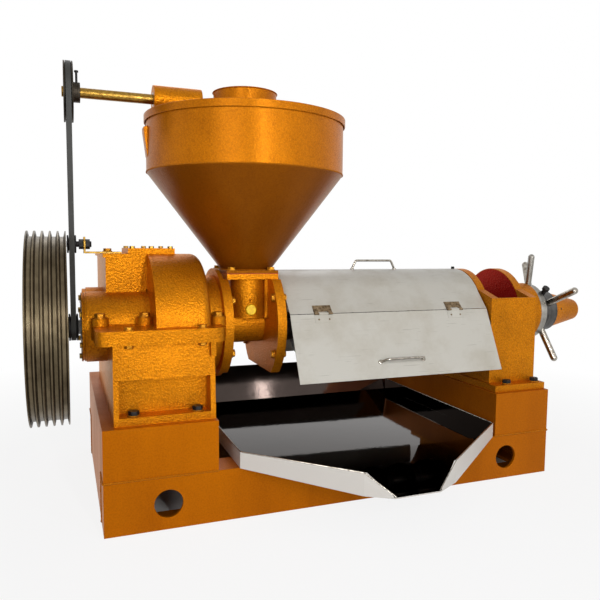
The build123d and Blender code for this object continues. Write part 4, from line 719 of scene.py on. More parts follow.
def node_tree(name, inputs):
    """Geometry tree with named inputs after the geometry."""
    tree = bpy.data.node_groups.new(name, 'GeometryNodeTree')
    tree.interface.new_socket("Geometry", in_out='INPUT', socket_type='NodeSocketGeometry')
    for label, kind, value in inputs:
        socket = tree.interface.new_socket(label, in_out='INPUT', socket_type=kind)
        if value is not None:
            socket.default_value = value
    tree.interface.new_socket("Geometry", in_out='OUTPUT', socket_type='NodeSocketGeometry')
    return tree, tree.nodes.new('NodeGroupInput'), tree.nodes.new('NodeGroupOutput')


def way_rotation(tree):
    """Turn that points a copy's Z along the stored way of its point."""
    stored = tree.nodes.new('GeometryNodeInputNamedAttribute')
    stored.data_type = 'FLOAT_VECTOR'
    stored.inputs['Name'].default_value = "way"
    align = tree.nodes.new('FunctionNodeAlignRotationToVector')
    align.axis = 'Z'
    tree.links.new(stored.outputs['Attribute'], align.inputs['Vector'])
    return align.outputs[0]


def copies(tree, given, out, points, shape, scale=None):
    """Last nodes of a tree: one real copy of a shape on every point, in its material."""
    place = tree.nodes.new('GeometryNodeInstanceOnPoints')
    real = tree.nodes.new('GeometryNodeRealizeInstances')
    coat = tree.nodes.new('GeometryNodeSetMaterial')
    tree.links.new(points, place.inputs['Points'])
    tree.links.new(shape, place.inputs['Instance'])
    if scale is None:
        tree.links.new(way_rotation(tree), place.inputs['Rotation'])
    else:
        tree.links.new(scale, place.inputs['Scale'])
    tree.links.new(place.outputs[0], real.inputs[0])
    tree.links.new(real.outputs[0], coat.inputs['Geometry'])
    tree.links.new(given.outputs['Material'], coat.inputs['Material'])
    tree.links.new(coat.outputs[0], out.inputs[0])


def swept_ring(tree, circle, section):
    """Ring with the given section along a circle."""
    ring = tree.nodes.new('GeometryNodeCurveToMesh')
    tree.links.new(circle.outputs[0], ring.inputs['Curve'])
    tree.links.new(section.outputs[0], ring.inputs['Profile Curve'])
    return ring.outputs[0]


def fastener_tree():
    """Chamfered head on every point: hexagon or round by its number of sides."""
    tree, given, out = node_tree("fastener_heads", [
        ("Head Radius", 'NodeSocketFloat', 0.008), ("Head Height", 'NodeSocketFloat', 0.005),
        ("Sides", 'NodeSocketInt', 6), ("Crown", 'NodeSocketFloat', 0.8),
        ("Material", 'NodeSocketMaterial', None)])
    low = tree.nodes.new('GeometryNodeMeshCone')
    top = tree.nodes.new('GeometryNodeMeshCone')
    join = tree.nodes.new('GeometryNodeJoinGeometry')
    lift = tree.nodes.new('GeometryNodeTransform')
    links = tree.links
    body = maths(tree, 'MULTIPLY', given.outputs['Head Height'], 0.78)
    cap = maths(tree, 'MULTIPLY', given.outputs['Head Height'], 0.22)
    narrow = maths(tree, 'MULTIPLY', given.outputs['Head Radius'], given.outputs['Crown'])
    for cone in (low, top):
        links.new(given.outputs['Sides'], cone.inputs['Vertices'])
        links.new(given.outputs['Head Radius'], cone.inputs['Radius Bottom'])
    links.new(given.outputs['Head Radius'], low.inputs['Radius Top'])
    links.new(narrow, top.inputs['Radius Top'])
    links.new(body, low.inputs['Depth'])
    links.new(cap, top.inputs['Depth'])
    up = tree.nodes.new('ShaderNodeCombineXYZ')
    links.new(body, up.inputs['Z'])
    links.new(top.outputs['Mesh'], lift.inputs['Geometry'])
    links.new(up.outputs[0], lift.inputs['Translation'])
    links.new(low.outputs['Mesh'], join.inputs[0])
    links.new(lift.outputs[0], join.inputs[0])
    head = tree.nodes.new('GeometryNodeMergeByDistance')
    head.inputs['Distance'].default_value = MERGE_DISTANCE
    links.new(join.outputs[0], head.inputs['Geometry'])
    copies(tree, given, out, given.outputs['Geometry'], head.outputs[0])


def washer_tree():
    """Flat washer on every point."""
    tree, given, out = node_tree("washers", [
        ("Ring Radius", 'NodeSocketFloat', 0.012), ("Ring Width", 'NodeSocketFloat', 0.006),
        ("Depth", 'NodeSocketFloat', 0.002), ("Material", 'NodeSocketMaterial', None)])
    links = tree.links
    circle = tree.nodes.new('GeometryNodeCurvePrimitiveCircle')
    circle.inputs['Resolution'].default_value = 32
    section = tree.nodes.new('GeometryNodeCurvePrimitiveQuadrilateral')
    links.new(given.outputs['Ring Radius'], circle.inputs['Radius'])
    links.new(given.outputs['Ring Width'], section.inputs['Width'])
    links.new(given.outputs['Depth'], section.inputs['Height'])
    soft = tree.nodes.new('GeometryNodeFilletCurve')
    soft.inputs['Radius'].default_value = 0.0004
    links.new(section.outputs[0], soft.inputs['Curve'])
    copies(tree, given, out, given.outputs['Geometry'], swept_ring(tree, circle, soft))


def weld_tree():
    """Row of overlapping weld ripples along every edge path."""
    tree, given, out = node_tree("weld_beads", [
        ("Bead Width", 'NodeSocketFloat', 0.006), ("Ripple Step", 'NodeSocketFloat', 0.004),
        ("Seed", 'NodeSocketInt', 3), ("Material", 'NodeSocketMaterial', None)])
    links = tree.links
    path = tree.nodes.new('GeometryNodeMeshToCurve')
    points = tree.nodes.new('GeometryNodeResampleCurve')
    points.mode = 'LENGTH'
    links.new(given.outputs['Geometry'], path.inputs['Mesh'])
    links.new(path.outputs[0], points.inputs['Curve'])
    links.new(given.outputs['Ripple Step'], points.inputs['Length'])
    ball = tree.nodes.new('GeometryNodeMeshUVSphere')
    ball.inputs['Segments'].default_value = 8
    ball.inputs['Rings'].default_value = 5
    links.new(maths(tree, 'MULTIPLY', given.outputs['Bead Width'], 0.5), ball.inputs['Radius'])
    size = tree.nodes.new('FunctionNodeRandomValue')
    size.data_type = 'FLOAT'
    size.inputs[2].default_value = 0.8
    size.inputs[3].default_value = 1.15
    links.new(given.outputs['Seed'], size.inputs['Seed'])
    copies(tree, given, out, points.outputs[0], ball.outputs['Mesh'], size.outputs[1])


def thread_tree():
    """Rounded thread ridges: one ring on every point."""
    tree, given, out = node_tree("thread_ridges", [
        ("Ring Radius", 'NodeSocketFloat', 0.058), ("Ridge Radius", 'NodeSocketFloat', 0.0015),
        ("Material", 'NodeSocketMaterial', None)])
    links = tree.links
    circle = tree.nodes.new('GeometryNodeCurvePrimitiveCircle')
    circle.inputs['Resolution'].default_value = 64
    section = tree.nodes.new('GeometryNodeCurvePrimitiveCircle')
    section.inputs['Resolution'].default_value = 6
    links.new(given.outputs['Ring Radius'], circle.inputs['Radius'])
    links.new(given.outputs['Ridge Radius'], section.inputs['Radius'])
    copies(tree, given, out, given.outputs['Geometry'], swept_ring(tree, circle, section))


def run_tree(name, tree_name, base_mesh, values, material, body, smooth_angle=35.0):
    """Piece made by a geometry tree from a small base mesh."""
    tree = bpy.data.node_groups[tree_name]
    draft = bpy.data.objects.new(name + "_draft", base_mesh)
    bpy.context.scene.collection.objects.link(draft)
    modifier = draft.modifiers.new("made", 'NODES')
    modifier.node_group = tree
    named = {item.name: item.identifier for item in tree.interface.items_tree
             if item.item_type == 'SOCKET' and item.in_out == 'INPUT'}
    for label, value in values.items():
        modifier[named[label]] = value
    modifier[named["Material"]] = metal(material)
    mesh = plain_mesh(draft, name)
    soften(mesh, smooth_angle)
    return add_piece(name, mesh, material, body)


def point_mesh(name, places):
    """Mesh of loose points, each with the way its copy faces."""
    mesh = bpy.data.meshes.new(name)
    mesh.from_pydata([Vector(p) for p, way in places], [], [])
    stored = mesh.attributes.new("way", 'FLOAT_VECTOR', 'POINT')
    for i, (p, way) in enumerate(places):
        stored.data[i].vector = Vector(way)
    return mesh


def path_mesh(name, paths):
    """Mesh of edge paths."""
    mesh = bpy.data.meshes.new(name)
    verts, edges = [], []
    for path in paths:
        start = len(verts)
        verts.extend(Vector(p) for p in path)
        edges.extend((start + i, start + i + 1) for i in range(len(path) - 1))
    mesh.from_pydata(verts, edges, [])
    return mesh


# Places that several pieces share.


def islands(node):
    """Lowest and highest corners of each separate solid of a node."""
    bm = merged(node)
    seen, boxes = set(), []
    for vert in bm.verts:
        if vert in seen:
            continue
        stack, low, high = [vert], Vector(vert.co), Vector(vert.co)
        seen.add(vert)
        while stack:
            here = stack.pop()
            for k in range(3):
                low[k] = min(low[k], here.co[k])
                high[k] = max(high[k], here.co[k])
            for edge in here.link_edges:
                other = edge.other_vert(here)
                if other not in seen:
                    seen.add(other)
                    stack.append(other)
        boxes.append((low, high))
    bm.free()
    return boxes


def bolt_seats():
    """Seats of the upright and level bolts, large and medium, with the way each head faces."""
    large_head, medium_head = 0.012, 0.009
    large_width, level_length = 0.0225, 0.03
    throat_top, throat_middle = 0.645, -0.26
    large, medium = [], []
    for node in ("foundation_bolts", "gearbox_bolts"):
        for low, high in islands(node):
            middle = (low + high) / 2
            if high.x - low.x > large_width:
                large.append(((middle.x, middle.y, high.z - large_head), (0, 0, 1)))
            else:
                medium.append(((middle.x, middle.y, high.z - medium_head), (0, 0, 1)))
    for low, high in islands("throat_bolts"):
        middle = (low + high) / 2
        if high.z > throat_top and high.x - low.x < level_length:
            medium.append(((middle.x, middle.y, high.z - medium_head), (0, 0, 1)))
        elif middle.x < throat_middle:
            medium.append(((high.x - medium_head, middle.y, middle.z), (1, 0, 0)))
        else:
            medium.append(((low.x + medium_head, middle.y, middle.z), (-1, 0, 0)))
    return large, medium


def shoulder_steps(back):
    """Corner between the cover's shoulder and its flap, with the steps along and out of it."""
    way = 1 if back else -1
    start = Vector((0, AXIS_Y + way * SHOULDER_REACH, SHOULDER_Z))
    along = Vector((0, -way * math.sin(SHOULDER_TURN), math.cos(SHOULDER_TURN)))
    out = Vector((0, way * math.cos(SHOULDER_TURN), math.sin(SHOULDER_TURN)))
    return start, along, out


def flap_steps(back):
    """Top corner of a flap with the steps down and out of it."""
    way = 1 if back else -1
    run, fall = FLAP_FOOT_REACH - SHOULDER_REACH, SHOULDER_Z - FLAP_FOOT_Z
    start = Vector((0, AXIS_Y + way * SHOULDER_REACH, SHOULDER_Z))
    down = Vector((0, way * run, -fall)).normalized()
    outward = Vector((0, way * fall, run)).normalized()
    return start, down, outward


def shown_white(tree):
    """Mask of the rays that see the background itself: straight, mirrored or through glass."""
    ray = tree.nodes.new('ShaderNodeLightPath')
    mirrored = maths(tree, 'MAXIMUM', ray.outputs['Is Glossy Ray'],
                     ray.outputs['Is Transmission Ray'])
    return maths(tree, 'MAXIMUM', ray.outputs['Is Camera Ray'], mirrored)


def dress(material, *nodes):
    """Better material on CAD nodes that keep their shape."""
    for node in nodes:
        frame["nodes"][node].material_slots[0].material = metal(material)


# Operators, one for each group of pieces.


class OILPRESS_OT_finishes(bpy.types.Operator):
    """Make the paint, metal and rubber finishes and the trees of the repeated fittings"""

    bl_idname = "oilpress.finishes"
    bl_label = "Finishes"

    def execute(self, context):
        make_finishes()
        fastener_tree()
        washer_tree()
        weld_tree()
        thread_tree()
        return {'FINISHED'}


class OILPRESS_OT_base(bpy.types.Operator):
    """Welded base with its rounded plates, weld beads, splash panel and oil tray"""

    bl_idname = "oilpress.base"
    bl_label = "Base and Tray"

    def execute(self, context):
        edge = sizes().plate_round
        for node, name in (("base_front_beam", "front_beam"), ("base_rear_beam", "rear_beam"),
                           ("gearbox_pedestal", "left_pedestal"),
                           ("outlet_pedestal", "right_pedestal"), ("base_cross_ties", "ties")):
            refined(node, name, "base_gold", edge)
        self.weld()
        refined("rear_splash_panel", "splash_panel", "splash_sheet", 0.0008)
        refined("oil_tray", "drip_tray", "tray_sheet", 0.0007)
        self.hem()
        return {'FINISHED'}

    def weld(self):
        """Beads where the pedestals stand on the beams and the ties meet them."""
        low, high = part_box("base_front_beam")
        level = high.z
        beam_depth = 0.09
        joint = BASE_HALF_WIDTH - beam_depth
        paths = []
        for node in ("gearbox_pedestal", "outlet_pedestal"):
            left, right = (corner.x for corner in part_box(node))
            for y in (-BASE_HALF_WIDTH, BASE_HALF_WIDTH):
                paths.append([(left, y, level), (right, y, level)])
        for x in (low.x, high.x):
            for y in (-BASE_HALF_WIDTH, joint):
                paths.append([(x, y, level), (x, y + beam_depth, level)])
            for y in (-joint, joint):
                paths.append([(x, y, 0.006), (x, y, level - 0.002)])
        run_tree("base_welds", "weld_beads", path_mesh("base_seams", paths),
                 {"Bead Width": sizes().weld_width, "Ripple Step": 0.0035, "Seed": 5},
                 "weld_gold", "base", 60)

    def hem(self):
        """Rolled edge along the top of the tray walls, through the corners of each side."""
        corners = ((0.3975, 0.299, 0.1795), (0.3975, -0.3735, 0.1795), (0.134, -0.5615, 0.1565),
                   (0.063, -0.5965, 0.0985))
        corner_round, hem_radius, hem_sides = 0.006, 0.0019, 8
        bm = bmesh.new()
        for way in (-1, 1):
            points = [(TRAY_X + way * half, y, z) for half, y, z in corners]
            tube(bm, smooth_path(points, corner_round), hem_radius, hem_sides)
        add_piece("tray_hem", mesh_from(bm, "tray_hem"), "bright_plate", "base")


class OILPRESS_OT_gearbox(bpy.types.Operator):
    """Gearbox castings with soft edges, caps, covers, washers and nuts"""

    bl_idname = "oilpress.gearbox"
    bl_label = "Gearbox"

    def execute(self, context):
        edge = sizes().casting_round
        refined("gearbox_lower_body", "gearbox_lower_casting", "casting_gold", edge)
        refined("gearbox_upper_body", "gearbox_upper_casting", "casting_gold", edge)
        refined("inspection_cover", "gear_window_cover", "casting_gold", 0.002)
        refined("bearing_caps", "turned_caps", "casting_gold", 0.0008)
        refined("gearbox_bolts", "split_line_bolts", "bolt_gold", 0.0009)
        refined("foundation_bolts", "holding_down_bolts", "black_oxide", 0.0009)
        refined("small_screws", "cap_screws", "yellow_zinc", 0.0006)
        large, medium = bolt_seats()
        self.washers("large_washers", large, 0.0136, 0.006)
        self.washers("medium_washers", medium, 0.0108, 0.005)
        below = []
        for low, high in islands("gearbox_bolts"):
            middle = (low + high) / 2
            if low.z < AXIS_Z - 0.008:
                below.append(((middle.x, middle.y, SPLIT_FLANGE_FOOT), (0, 0, -1)))
        run_tree("split_line_nuts", "fastener_heads", point_mesh("nut_seats", below),
                 {"Head Radius": 0.0115, "Head Height": 0.009, "Sides": 6, "Crown": 0.84},
                 "bolt_gold", "base")
        dress("inner_steel", "bearings_and_seals", "input_pinion_shaft", "layshaft_pinion_shaft",
              "layshaft_gear", "bull_gear")
        return {'FINISHED'}

    def washers(self, name, seats, ring_radius, ring_width):
        """Washers that lie on the seats of their bolts."""
        depth = sizes().washer_depth
        lifted = [(Vector(p) + Vector(way) * depth / 2, way) for p, way in seats]
        run_tree(name, "washers", point_mesh(name + "_seats", lifted),
                 {"Ring Radius": ring_radius, "Ring Width": ring_width, "Depth": depth},
                 "bolt_gold", "base")


class OILPRESS_OT_drive(bpy.types.Operator):
    """Grooved pulley, feeder belt with its pulleys, idler, bracket and feeder shaft"""

    bl_idname = "oilpress.drive"
    bl_label = "Drive"

    def execute(self, context):
        refined("main_pulley", "grooved_pulley", "pulley_iron", 0.0007)
        refined("feeder_drive_pulley", "small_drive_pulley", "black_oxide", 0.0008)
        refined("feeder_pulley", "top_pulley", "feeder_iron", 0.0008)
        refined("feeder_belt", "vee_belt", "belt_black", 0.0, smooth_angle=30)
        refined("idler_pulley", "tension_roller", "black_oxide", 0.0008)
        refined("idler_axle", "tension_stud", "black_oxide", 0.0006)
        refined("idler_bracket", "tension_bracket", "yellow_zinc", 0.0012)
        refined("feeder_shaft", "long_feeder_shaft", "yellow_zinc", 0.001)
        refined("feeder_bearing_tube", "feeder_tube", "casting_gold", 0.0022)
        self.set_bolt()
        turns = [-0.7415 + 0.0025 * i for i in range(2)] + [-0.6918 + 0.0022 * i for i in range(6)]
        ridges = [((x, STUD_Y, STUD_Z), (1, 0, 0)) for x in turns]
        run_tree("tension_stud_thread", "thread_ridges", point_mesh("stud_turns", ridges),
                 {"Ring Radius": 0.0079, "Ridge Radius": 0.0008}, "black_oxide", "base")
        return {'FINISHED'}

    def set_bolt(self):
        """Long set bolt in the hub of the top pulley."""
        hub = -0.7085
        start = FEEDER_Z + 0.024
        end = FEEDER_Z + 0.052
        profile = [(start, 0), (start, 0.003), (end, 0.003), (end, 0.0052), (end + 0.0035, 0.0056),
                   (end + 0.0046, 0.0048), (end + 0.0046, 0)]
        bm = turned(profile, (0, 0, 1), (hub, AXIS_Y, 0), 24)
        add_piece("hub_set_bolt", mesh_from(bm, "hub_set_bolt"), "black_oxide", "feeder")


class OILPRESS_OT_feed(bpy.types.Operator):
    """Feed throat, hopper with its seams, lid, filling collar and gear housing"""

    bl_idname = "oilpress.feed"
    bl_label = "Hopper and Throat"

    def execute(self, context):
        refined("feed_throat", "throat_casting", "casting_gold", sizes().casting_round)
        refined("throat_bolts", "throat_flange_bolts", "bolt_gold", 0.0008)
        refined("throat_plug", "yellow_plug", "plug_yellow", 0.002)
        dress("gasket_red", "port_gasket")
        refined("hopper_shell", "hopper_body", "hopper_gold", 0.0012)
        refined("hopper_lid", "hopper_cover", "hopper_gold", 0.0009)
        refined("bevel_housing", "gear_housing", "casting_gold", 0.003)
        dress("inner_steel", "feeder_bevel_pinion", "auger_bevel_gear", "feed_auger")
        self.seams()
        self.housing_screws()
        self.side_lug()
        return {'FINISHED'}

    def seams(self):
        """Weld beads at the knee, the neck and the collar and below the feeder tube."""
        tube_left, tube_right, tube_half = -0.49, -0.381, 0.0195
        collar_radius = 0.0845
        paths = [round_path(HOPPER_X, AXIS_Y, HOPPER_KNEE, HOPPER_RADIUS - 0.0006, 96),
                 round_path(HOPPER_X, AXIS_Y, HOPPER_NECK_Z, HOPPER_NECK + 0.001, 96)]
        for y in (AXIS_Y - tube_half, AXIS_Y + tube_half):
            paths.append([(tube_left, y, LID_TOP + 0.0005), (tube_right, y, LID_TOP + 0.0005)])
        collar = [round_path(INLET_X, INLET_Y, LID_TOP + 0.0004, collar_radius, 64)]
        for name, seams, width, seed in (("hopper_seams", paths, 0.0042, 9),
                                         ("inlet_seam", collar, 0.004, 4)):
            run_tree(name, "weld_beads", path_mesh(name + "_paths", seams),
                     {"Bead Width": width, "Ripple Step": 0.0028, "Seed": seed}, "weld_gold",
                     "base", 60)

    def housing_screws(self):
        """Screws on top of the small gear housing."""
        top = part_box("bevel_housing")[1].z
        reach = 0.04
        places = []
        for i in range(4):
            angle = math.radians(45 + 90 * i)
            places.append(((HOPPER_X + reach * math.cos(angle), AXIS_Y + reach * math.sin(angle),
                            top), (0, 0, 1)))
        run_tree("housing_screws", "fastener_heads", point_mesh("housing_seats", places),
                 {"Head Radius": 0.0056, "Head Height": 0.0042, "Sides": 6, "Crown": 0.82},
                 "yellow_zinc", "base")

    def side_lug(self):
        """Small folded lug on the drive side of the hopper."""
        bm = bmesh.new()
        x, z, half = HOPPER_X - 0.283, 1.0, 0.018
        outline = [(0.0, 0.038), (-0.011, 0.034), (-0.011, 0.024), (-0.002, -0.045), (0.0, -0.045)]
        front, back = [[bm.verts.new((x + a, y, z + b)) for a, b in outline]
                       for y in (AXIS_Y - half, AXIS_Y + half)]
        bm.faces.new(front)
        bm.faces.new(list(reversed(back)))
        for i in range(len(outline)):
            j = (i + 1) % len(outline)
            bm.faces.new((front[i], back[i], back[j], front[j]))
        bmesh.ops.recalc_face_normals(bm, faces=bm.faces)
        mesh = rounded(bm, "hopper_side_lug", 0.0012)
        add_piece("hopper_side_lug", mesh, "hopper_gold", "base")


class OILPRESS_OT_pressing(bpy.types.Operator):
    """Steel of the worm shaft, the press cage and what they hold"""

    bl_idname = "oilpress.pressing"
    bl_label = "Press Cage and Worm"

    def execute(self, context):
        dress("inner_steel", "worm_shaft", "worm_sleeves", "distance_collars", "press_bars",
              "cage_end_ring", "choke_cone")
        refined("cage_upper_half", "cage_top", "sleeve_steel", 0.002)
        refined("cage_lower_half", "cage_bottom", "sleeve_steel", 0.002)
        refined("cage_clamp_bolts", "cage_bolts", "black_oxide", 0.0009)
        return {'FINISHED'}


class OILPRESS_OT_outlet(bpy.types.Operator):
    """Outlet column, lock ring, adjusting sleeve with its rods and the end cover"""

    bl_idname = "oilpress.outlet"
    bl_label = "Cake Outlet"

    def execute(self, context):
        refined("outlet_column", "outlet_casting", "column_gold", sizes().casting_round)
        refined("lock_ring", "round_lock_ring", "ring_steel", 0.0016)
        refined("adjusting_sleeve", "cone_sleeve", "sleeve_steel", 0.0015)
        refined("handle_rods", "turning_rods", "bright_plate", 0.0055)
        refined("lock_bolt", "sleeve_lock_bolt", "black_oxide", 0.0012)
        refined("shaft_end_cover", "nose_cover", "casting_gold", 0.003)
        nose_x, nose_half = 0.9085, 0.0583
        places = [((nose_x, AXIS_Y + side * nose_half, AXIS_Z + 0.009), (0.22, side * 0.965, 0.15))
                  for side in (-1, 1)]
        run_tree("nose_set_screws", "fastener_heads", point_mesh("nose_seats", places),
                 {"Head Radius": 0.003, "Head Height": 0.0014, "Sides": 12, "Crown": 0.7},
                 "black_oxide", "sleeve")
        return {'FINISHED'}


class OILPRESS_OT_cover(bpy.types.Operator):
    """Sheet cover, its flaps, hinges, wire handles and screws"""

    bl_idname = "oilpress.cover"
    bl_label = "Cover"

    def execute(self, context):
        refined("cover_upper_sheet", "arched_sheet", "cover_grey", 0.0006)
        refined("cover_hoops", "carrying_hoops", "cover_grey", 0.0008)
        refined("front_flap", "front_flap_sheet", "cover_grey", 0.0005)
        refined("rear_flap", "rear_flap_sheet", "cover_grey", 0.0005)
        refined("cover_hinge_leaves", "hinge_leaves", "hinge_steel", 0.0003)
        refined("cover_handle", "lifting_bow", "bright_plate")
        refined("flap_handle", "flap_bow", "bright_plate")
        self.leaf_screws()
        self.handle_feet()
        places = [((0.484, AXIS_Y, COVER_TOP), (0, 0, 1))]
        run_tree("cover_end_bolt", "fastener_heads", point_mesh("end_bolt_seat", places),
                 {"Head Radius": 0.0062, "Head Height": 0.0072, "Sides": 6, "Crown": 0.84},
                 "black_oxide", "base")
        return {'FINISHED'}

    def leaf_screws(self):
        """Round screws in the fixed and moving hinge leaves."""
        values = {"Head Radius": 0.0026, "Head Height": 0.0014, "Sides": 12, "Crown": 0.62}
        leaf_starts, screw_steps = (-0.095, 0.345), (0.012, 0.044)
        inset, leaf_depth = 0.018, 0.0012
        fixed = []
        for back in (False, True):
            start, along, out = shoulder_steps(back)
            top, down, outward = flap_steps(back)
            above = start + along * inset + out * leaf_depth
            below = top + down * inset + outward * leaf_depth
            moving = []
            for x in leaf_starts:
                for step in screw_steps:
                    fixed.append(((x + step, above.y, above.z), out))
                    moving.append(((x + step, below.y, below.z), outward))
            side = "rear_flap" if back else "front_flap"
            run_tree(side + "_leaf_screws", "fastener_heads",
                     point_mesh(side + "_leaf_seats", moving), values, "hinge_steel", side)
        run_tree("shoulder_leaf_screws", "fastener_heads",
                 point_mesh("shoulder_leaf_seats", fixed), values, "hinge_steel", "base")

    def handle_feet(self):
        """Ferrules where the wire handles enter the sheets."""
        values = {"Head Radius": 0.0062, "Head Height": 0.0036, "Sides": 20, "Crown": 0.7}
        top_feet, flap_feet, seat_depth = (0.105, 0.257), (0.084, 0.226), 0.0003
        places = [((x, AXIS_Y, COVER_TOP - seat_depth), (0, 0, 1)) for x in top_feet]
        run_tree("lifting_bow_feet", "fastener_heads", point_mesh("bow_seats", places), values,
                 "bright_plate", "base")
        start, down, outward = flap_steps(False)
        point = start + down * ((SHOULDER_Z - FLAP_HANDLE_Z) / -down.z)
        places = [((x, point.y, point.z), outward) for x in flap_feet]
        run_tree("flap_bow_feet", "fastener_heads", point_mesh("flap_bow_seats", places), values,
                 "bright_plate", "front_flap")


class OILPRESS_OT_stage(bpy.types.Operator):
    """Pale floor and backdrop, studio lights and the camera"""

    bl_idname = "oilpress.stage"
    bl_label = "Stage"

    def execute(self, context):
        self.floor()
        self.world()
        self.lights()
        self.camera()
        return {'FINISHED'}

    def floor(self):
        """Pale floor that looks white to the camera and keeps the shadow."""
        bm = bmesh.new()
        bmesh.ops.create_grid(bm, x_segments=2, y_segments=2, size=30)
        mesh = bpy.data.meshes.new("floor")
        bm.to_mesh(mesh)
        bm.free()
        material = bpy.data.materials.new("floor_white")
        material.use_nodes = True
        tree = material.node_tree
        tree.nodes.clear()
        out = tree.nodes.new('ShaderNodeOutputMaterial')
        mix = tree.nodes.new('ShaderNodeMixShader')
        matt = tree.nodes.new('ShaderNodeBsdfDiffuse')
        matt.inputs['Color'].default_value = (0.8, 0.8, 0.8, 1)
        glow = tree.nodes.new('ShaderNodeEmission')
        glow.inputs['Color'].default_value = (1, 1, 1, 1)
        glow.inputs['Strength'].default_value = 1.0
        reach = tree.nodes.new('ShaderNodeVectorMath')
        reach.operation = 'LENGTH'
        tree.links.new(object_place(tree), reach.inputs[0])
        near_reach, far_reach, near_share = 1.0, 2.2, 0.86
        base_half_length, base_half_depth = 0.67, 0.366
        far = ramp(tree, reach.outputs['Value'], near_reach, far_reach, near_share, 1.0)
        split = axes(tree)
        across = maths(tree, 'MULTIPLY', maths(tree, 'ABSOLUTE', split['X']), 1 / base_half_length)
        deep = maths(tree, 'MULTIPLY', maths(tree, 'ABSOLUTE', split['Y']), 1 / base_half_depth)
        open_floor = maths(tree, 'GREATER_THAN', maths(tree, 'MAXIMUM', across, deep), 1.0)
        bright = maths(tree, 'MULTIPLY', far, open_floor)
        seen = maths(tree, 'MULTIPLY', shown_white(tree), bright)
        tree.links.new(seen, mix.inputs['Fac'])
        tree.links.new(matt.outputs[0], mix.inputs[1])
        tree.links.new(glow.outputs[0], mix.inputs[2])
        tree.links.new(mix.outputs[0], out.inputs['Surface'])
        mesh.materials.append(material)
        floor = bpy.data.objects.new("floor", mesh)
        floor.location.z = -0.0005
        bpy.context.scene.collection.objects.link(floor)

    def world(self):
        """White surroundings for the camera and for reflections, softer light for the rest."""
        world = bpy.data.worlds.new("studio")
        bpy.context.scene.world = world
        world.use_nodes = True
        tree = world.node_tree
        tree.nodes.clear()
        out = tree.nodes.new('ShaderNodeOutputWorld')
        seen = tree.nodes.new('ShaderNodeBackground')
        seen.inputs['Strength'].default_value = 1.0
        seen.inputs['Color'].default_value = (1, 1, 1, 1)
        soft = tree.nodes.new('ShaderNodeBackground')
        soft.inputs['Strength'].default_value = 0.23
        soft.inputs['Color'].default_value = (1.0, 0.98, 0.96, 1)
        mix = tree.nodes.new('ShaderNodeMixShader')
        tree.links.new(shown_white(tree), mix.inputs['Fac'])
        tree.links.new(soft.outputs[0], mix.inputs[1])
        tree.links.new(seen.outputs[0], mix.inputs[2])
        tree.links.new(mix.outputs[0], out.inputs['Surface'])

    def lights(self):
        """Broad front lights and two tall strips that show as streaks on the hopper."""
        target = Vector((0.0, -0.1, 0.55))
        for name, place, wide, tall, power in (
                ("front_left", (-2.1, -3.1, 1.5), 1.6, 1.6, 36),
                ("front_right", (2.4, -2.6, 1.3), 1.4, 1.4, 5),
                ("strip_near", (-0.10, -3.3, 1.25), 0.1, 1.9, 38),
                ("strip_far", (0.98, -3.0, 1.25), 0.1, 1.9, 10),
                ("rear_top", (0.3, 2.2, 2.6), 2.4, 1.4, 14)):
            lamp = bpy.data.lights.new(name, 'AREA')
            lamp.shape = 'RECTANGLE'
            lamp.size = wide
            lamp.size_y = tall
            lamp.energy = power
            source = bpy.data.objects.new(name, lamp)
            source.location = place
            way = target - Vector(place)
            source.rotation_euler = way.to_track_quat('-Z', 'Y').to_euler()
            bpy.context.scene.collection.objects.link(source)

    def camera(self):
        """Camera fitted to the base, the pulley and the hopper."""
        yaw, pitch, roll = -0.3669, -0.0866, 0.0084
        place = Vector((-0.7525, -1.8836, 0.7117))
        picture_width, focal_width = 600, 616.83
        ahead = Vector((-math.sin(yaw) * math.cos(pitch), math.cos(yaw) * math.cos(pitch),
                        math.sin(pitch)))
        level = Vector((math.cos(yaw), math.sin(yaw), 0))
        above = level.cross(ahead)
        right = level * math.cos(roll) + above * math.sin(roll)
        up = above * math.cos(roll) - level * math.sin(roll)
        lens = bpy.data.cameras.new("camera")
        lens.sensor_width = 36
        lens.lens = focal_width * lens.sensor_width / picture_width
        lens.clip_end = 100
        view = bpy.data.objects.new("camera", lens)
        turn = Matrix((right, up, -ahead)).transposed().to_4x4()
        view.matrix_world = Matrix.Translation(place) @ turn
        bpy.context.scene.collection.objects.link(view)
        bpy.context.scene.camera = view
        bpy.context.scene.view_settings.view_transform = 'Standard'


class OILPRESS_PT_panel(bpy.types.Panel):
    """Sidebar list of the pieces of the press"""

    bl_idname = "OILPRESS_PT_panel"
    bl_label = "Screw Oil Press"
    bl_space_type = 'VIEW_3D'
    bl_region_type = 'UI'
    bl_category = "Oil Press"

    def draw(self, context):
        layout = self.layout
        for group in (context.scene.oil_press_paint, context.scene.oil_press_sizes):
            for key in group.bl_rna.properties.keys():
                if key not in {"rna_type", "name"}:
                    layout.prop(group, key)
        for operator in PIECES:
            layout.operator(operator.bl_idname)


PIECES = (
    OILPRESS_OT_finishes,
    OILPRESS_OT_base,
    OILPRESS_OT_gearbox,
    OILPRESS_OT_drive,
    OILPRESS_OT_feed,
    OILPRESS_OT_pressing,
    OILPRESS_OT_outlet,
    OILPRESS_OT_cover,
    OILPRESS_OT_stage,
)
CLASSES = (OilPressPaint, OilPressSizes) + PIECES + (OILPRESS_PT_panel,)


def register():
    for item in CLASSES:
        bpy.utils.register_class(item)
    bpy.types.Scene.oil_press_paint = PointerProperty(type=OilPressPaint)
    bpy.types.Scene.oil_press_sizes = PointerProperty(type=OilPressSizes)


def unregister():
    del bpy.types.Scene.oil_press_sizes
    del bpy.types.Scene.oil_press_paint
    for item in reversed(CLASSES):
        bpy.utils.unregister_class(item)


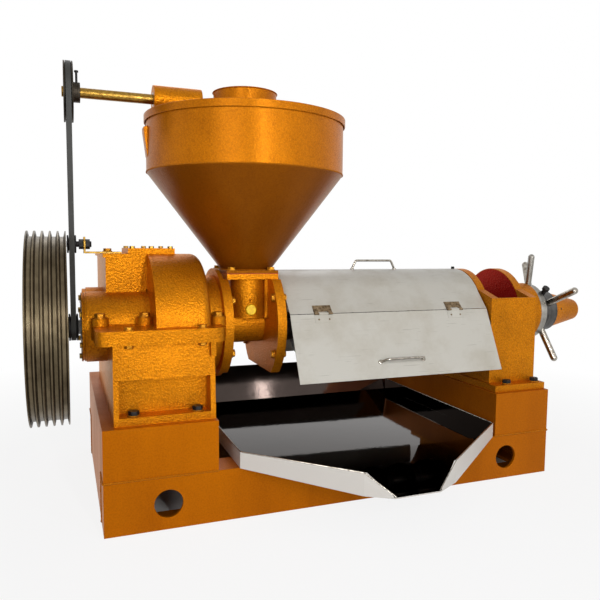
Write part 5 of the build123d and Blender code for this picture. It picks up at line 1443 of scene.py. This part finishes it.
def main():
    """Make every piece in order."""
    register()
    for operator in PIECES:
        group, name = operator.bl_idname.split(".")
        getattr(getattr(bpy.ops, group), name)()


if __name__ == "__main__":
    main()
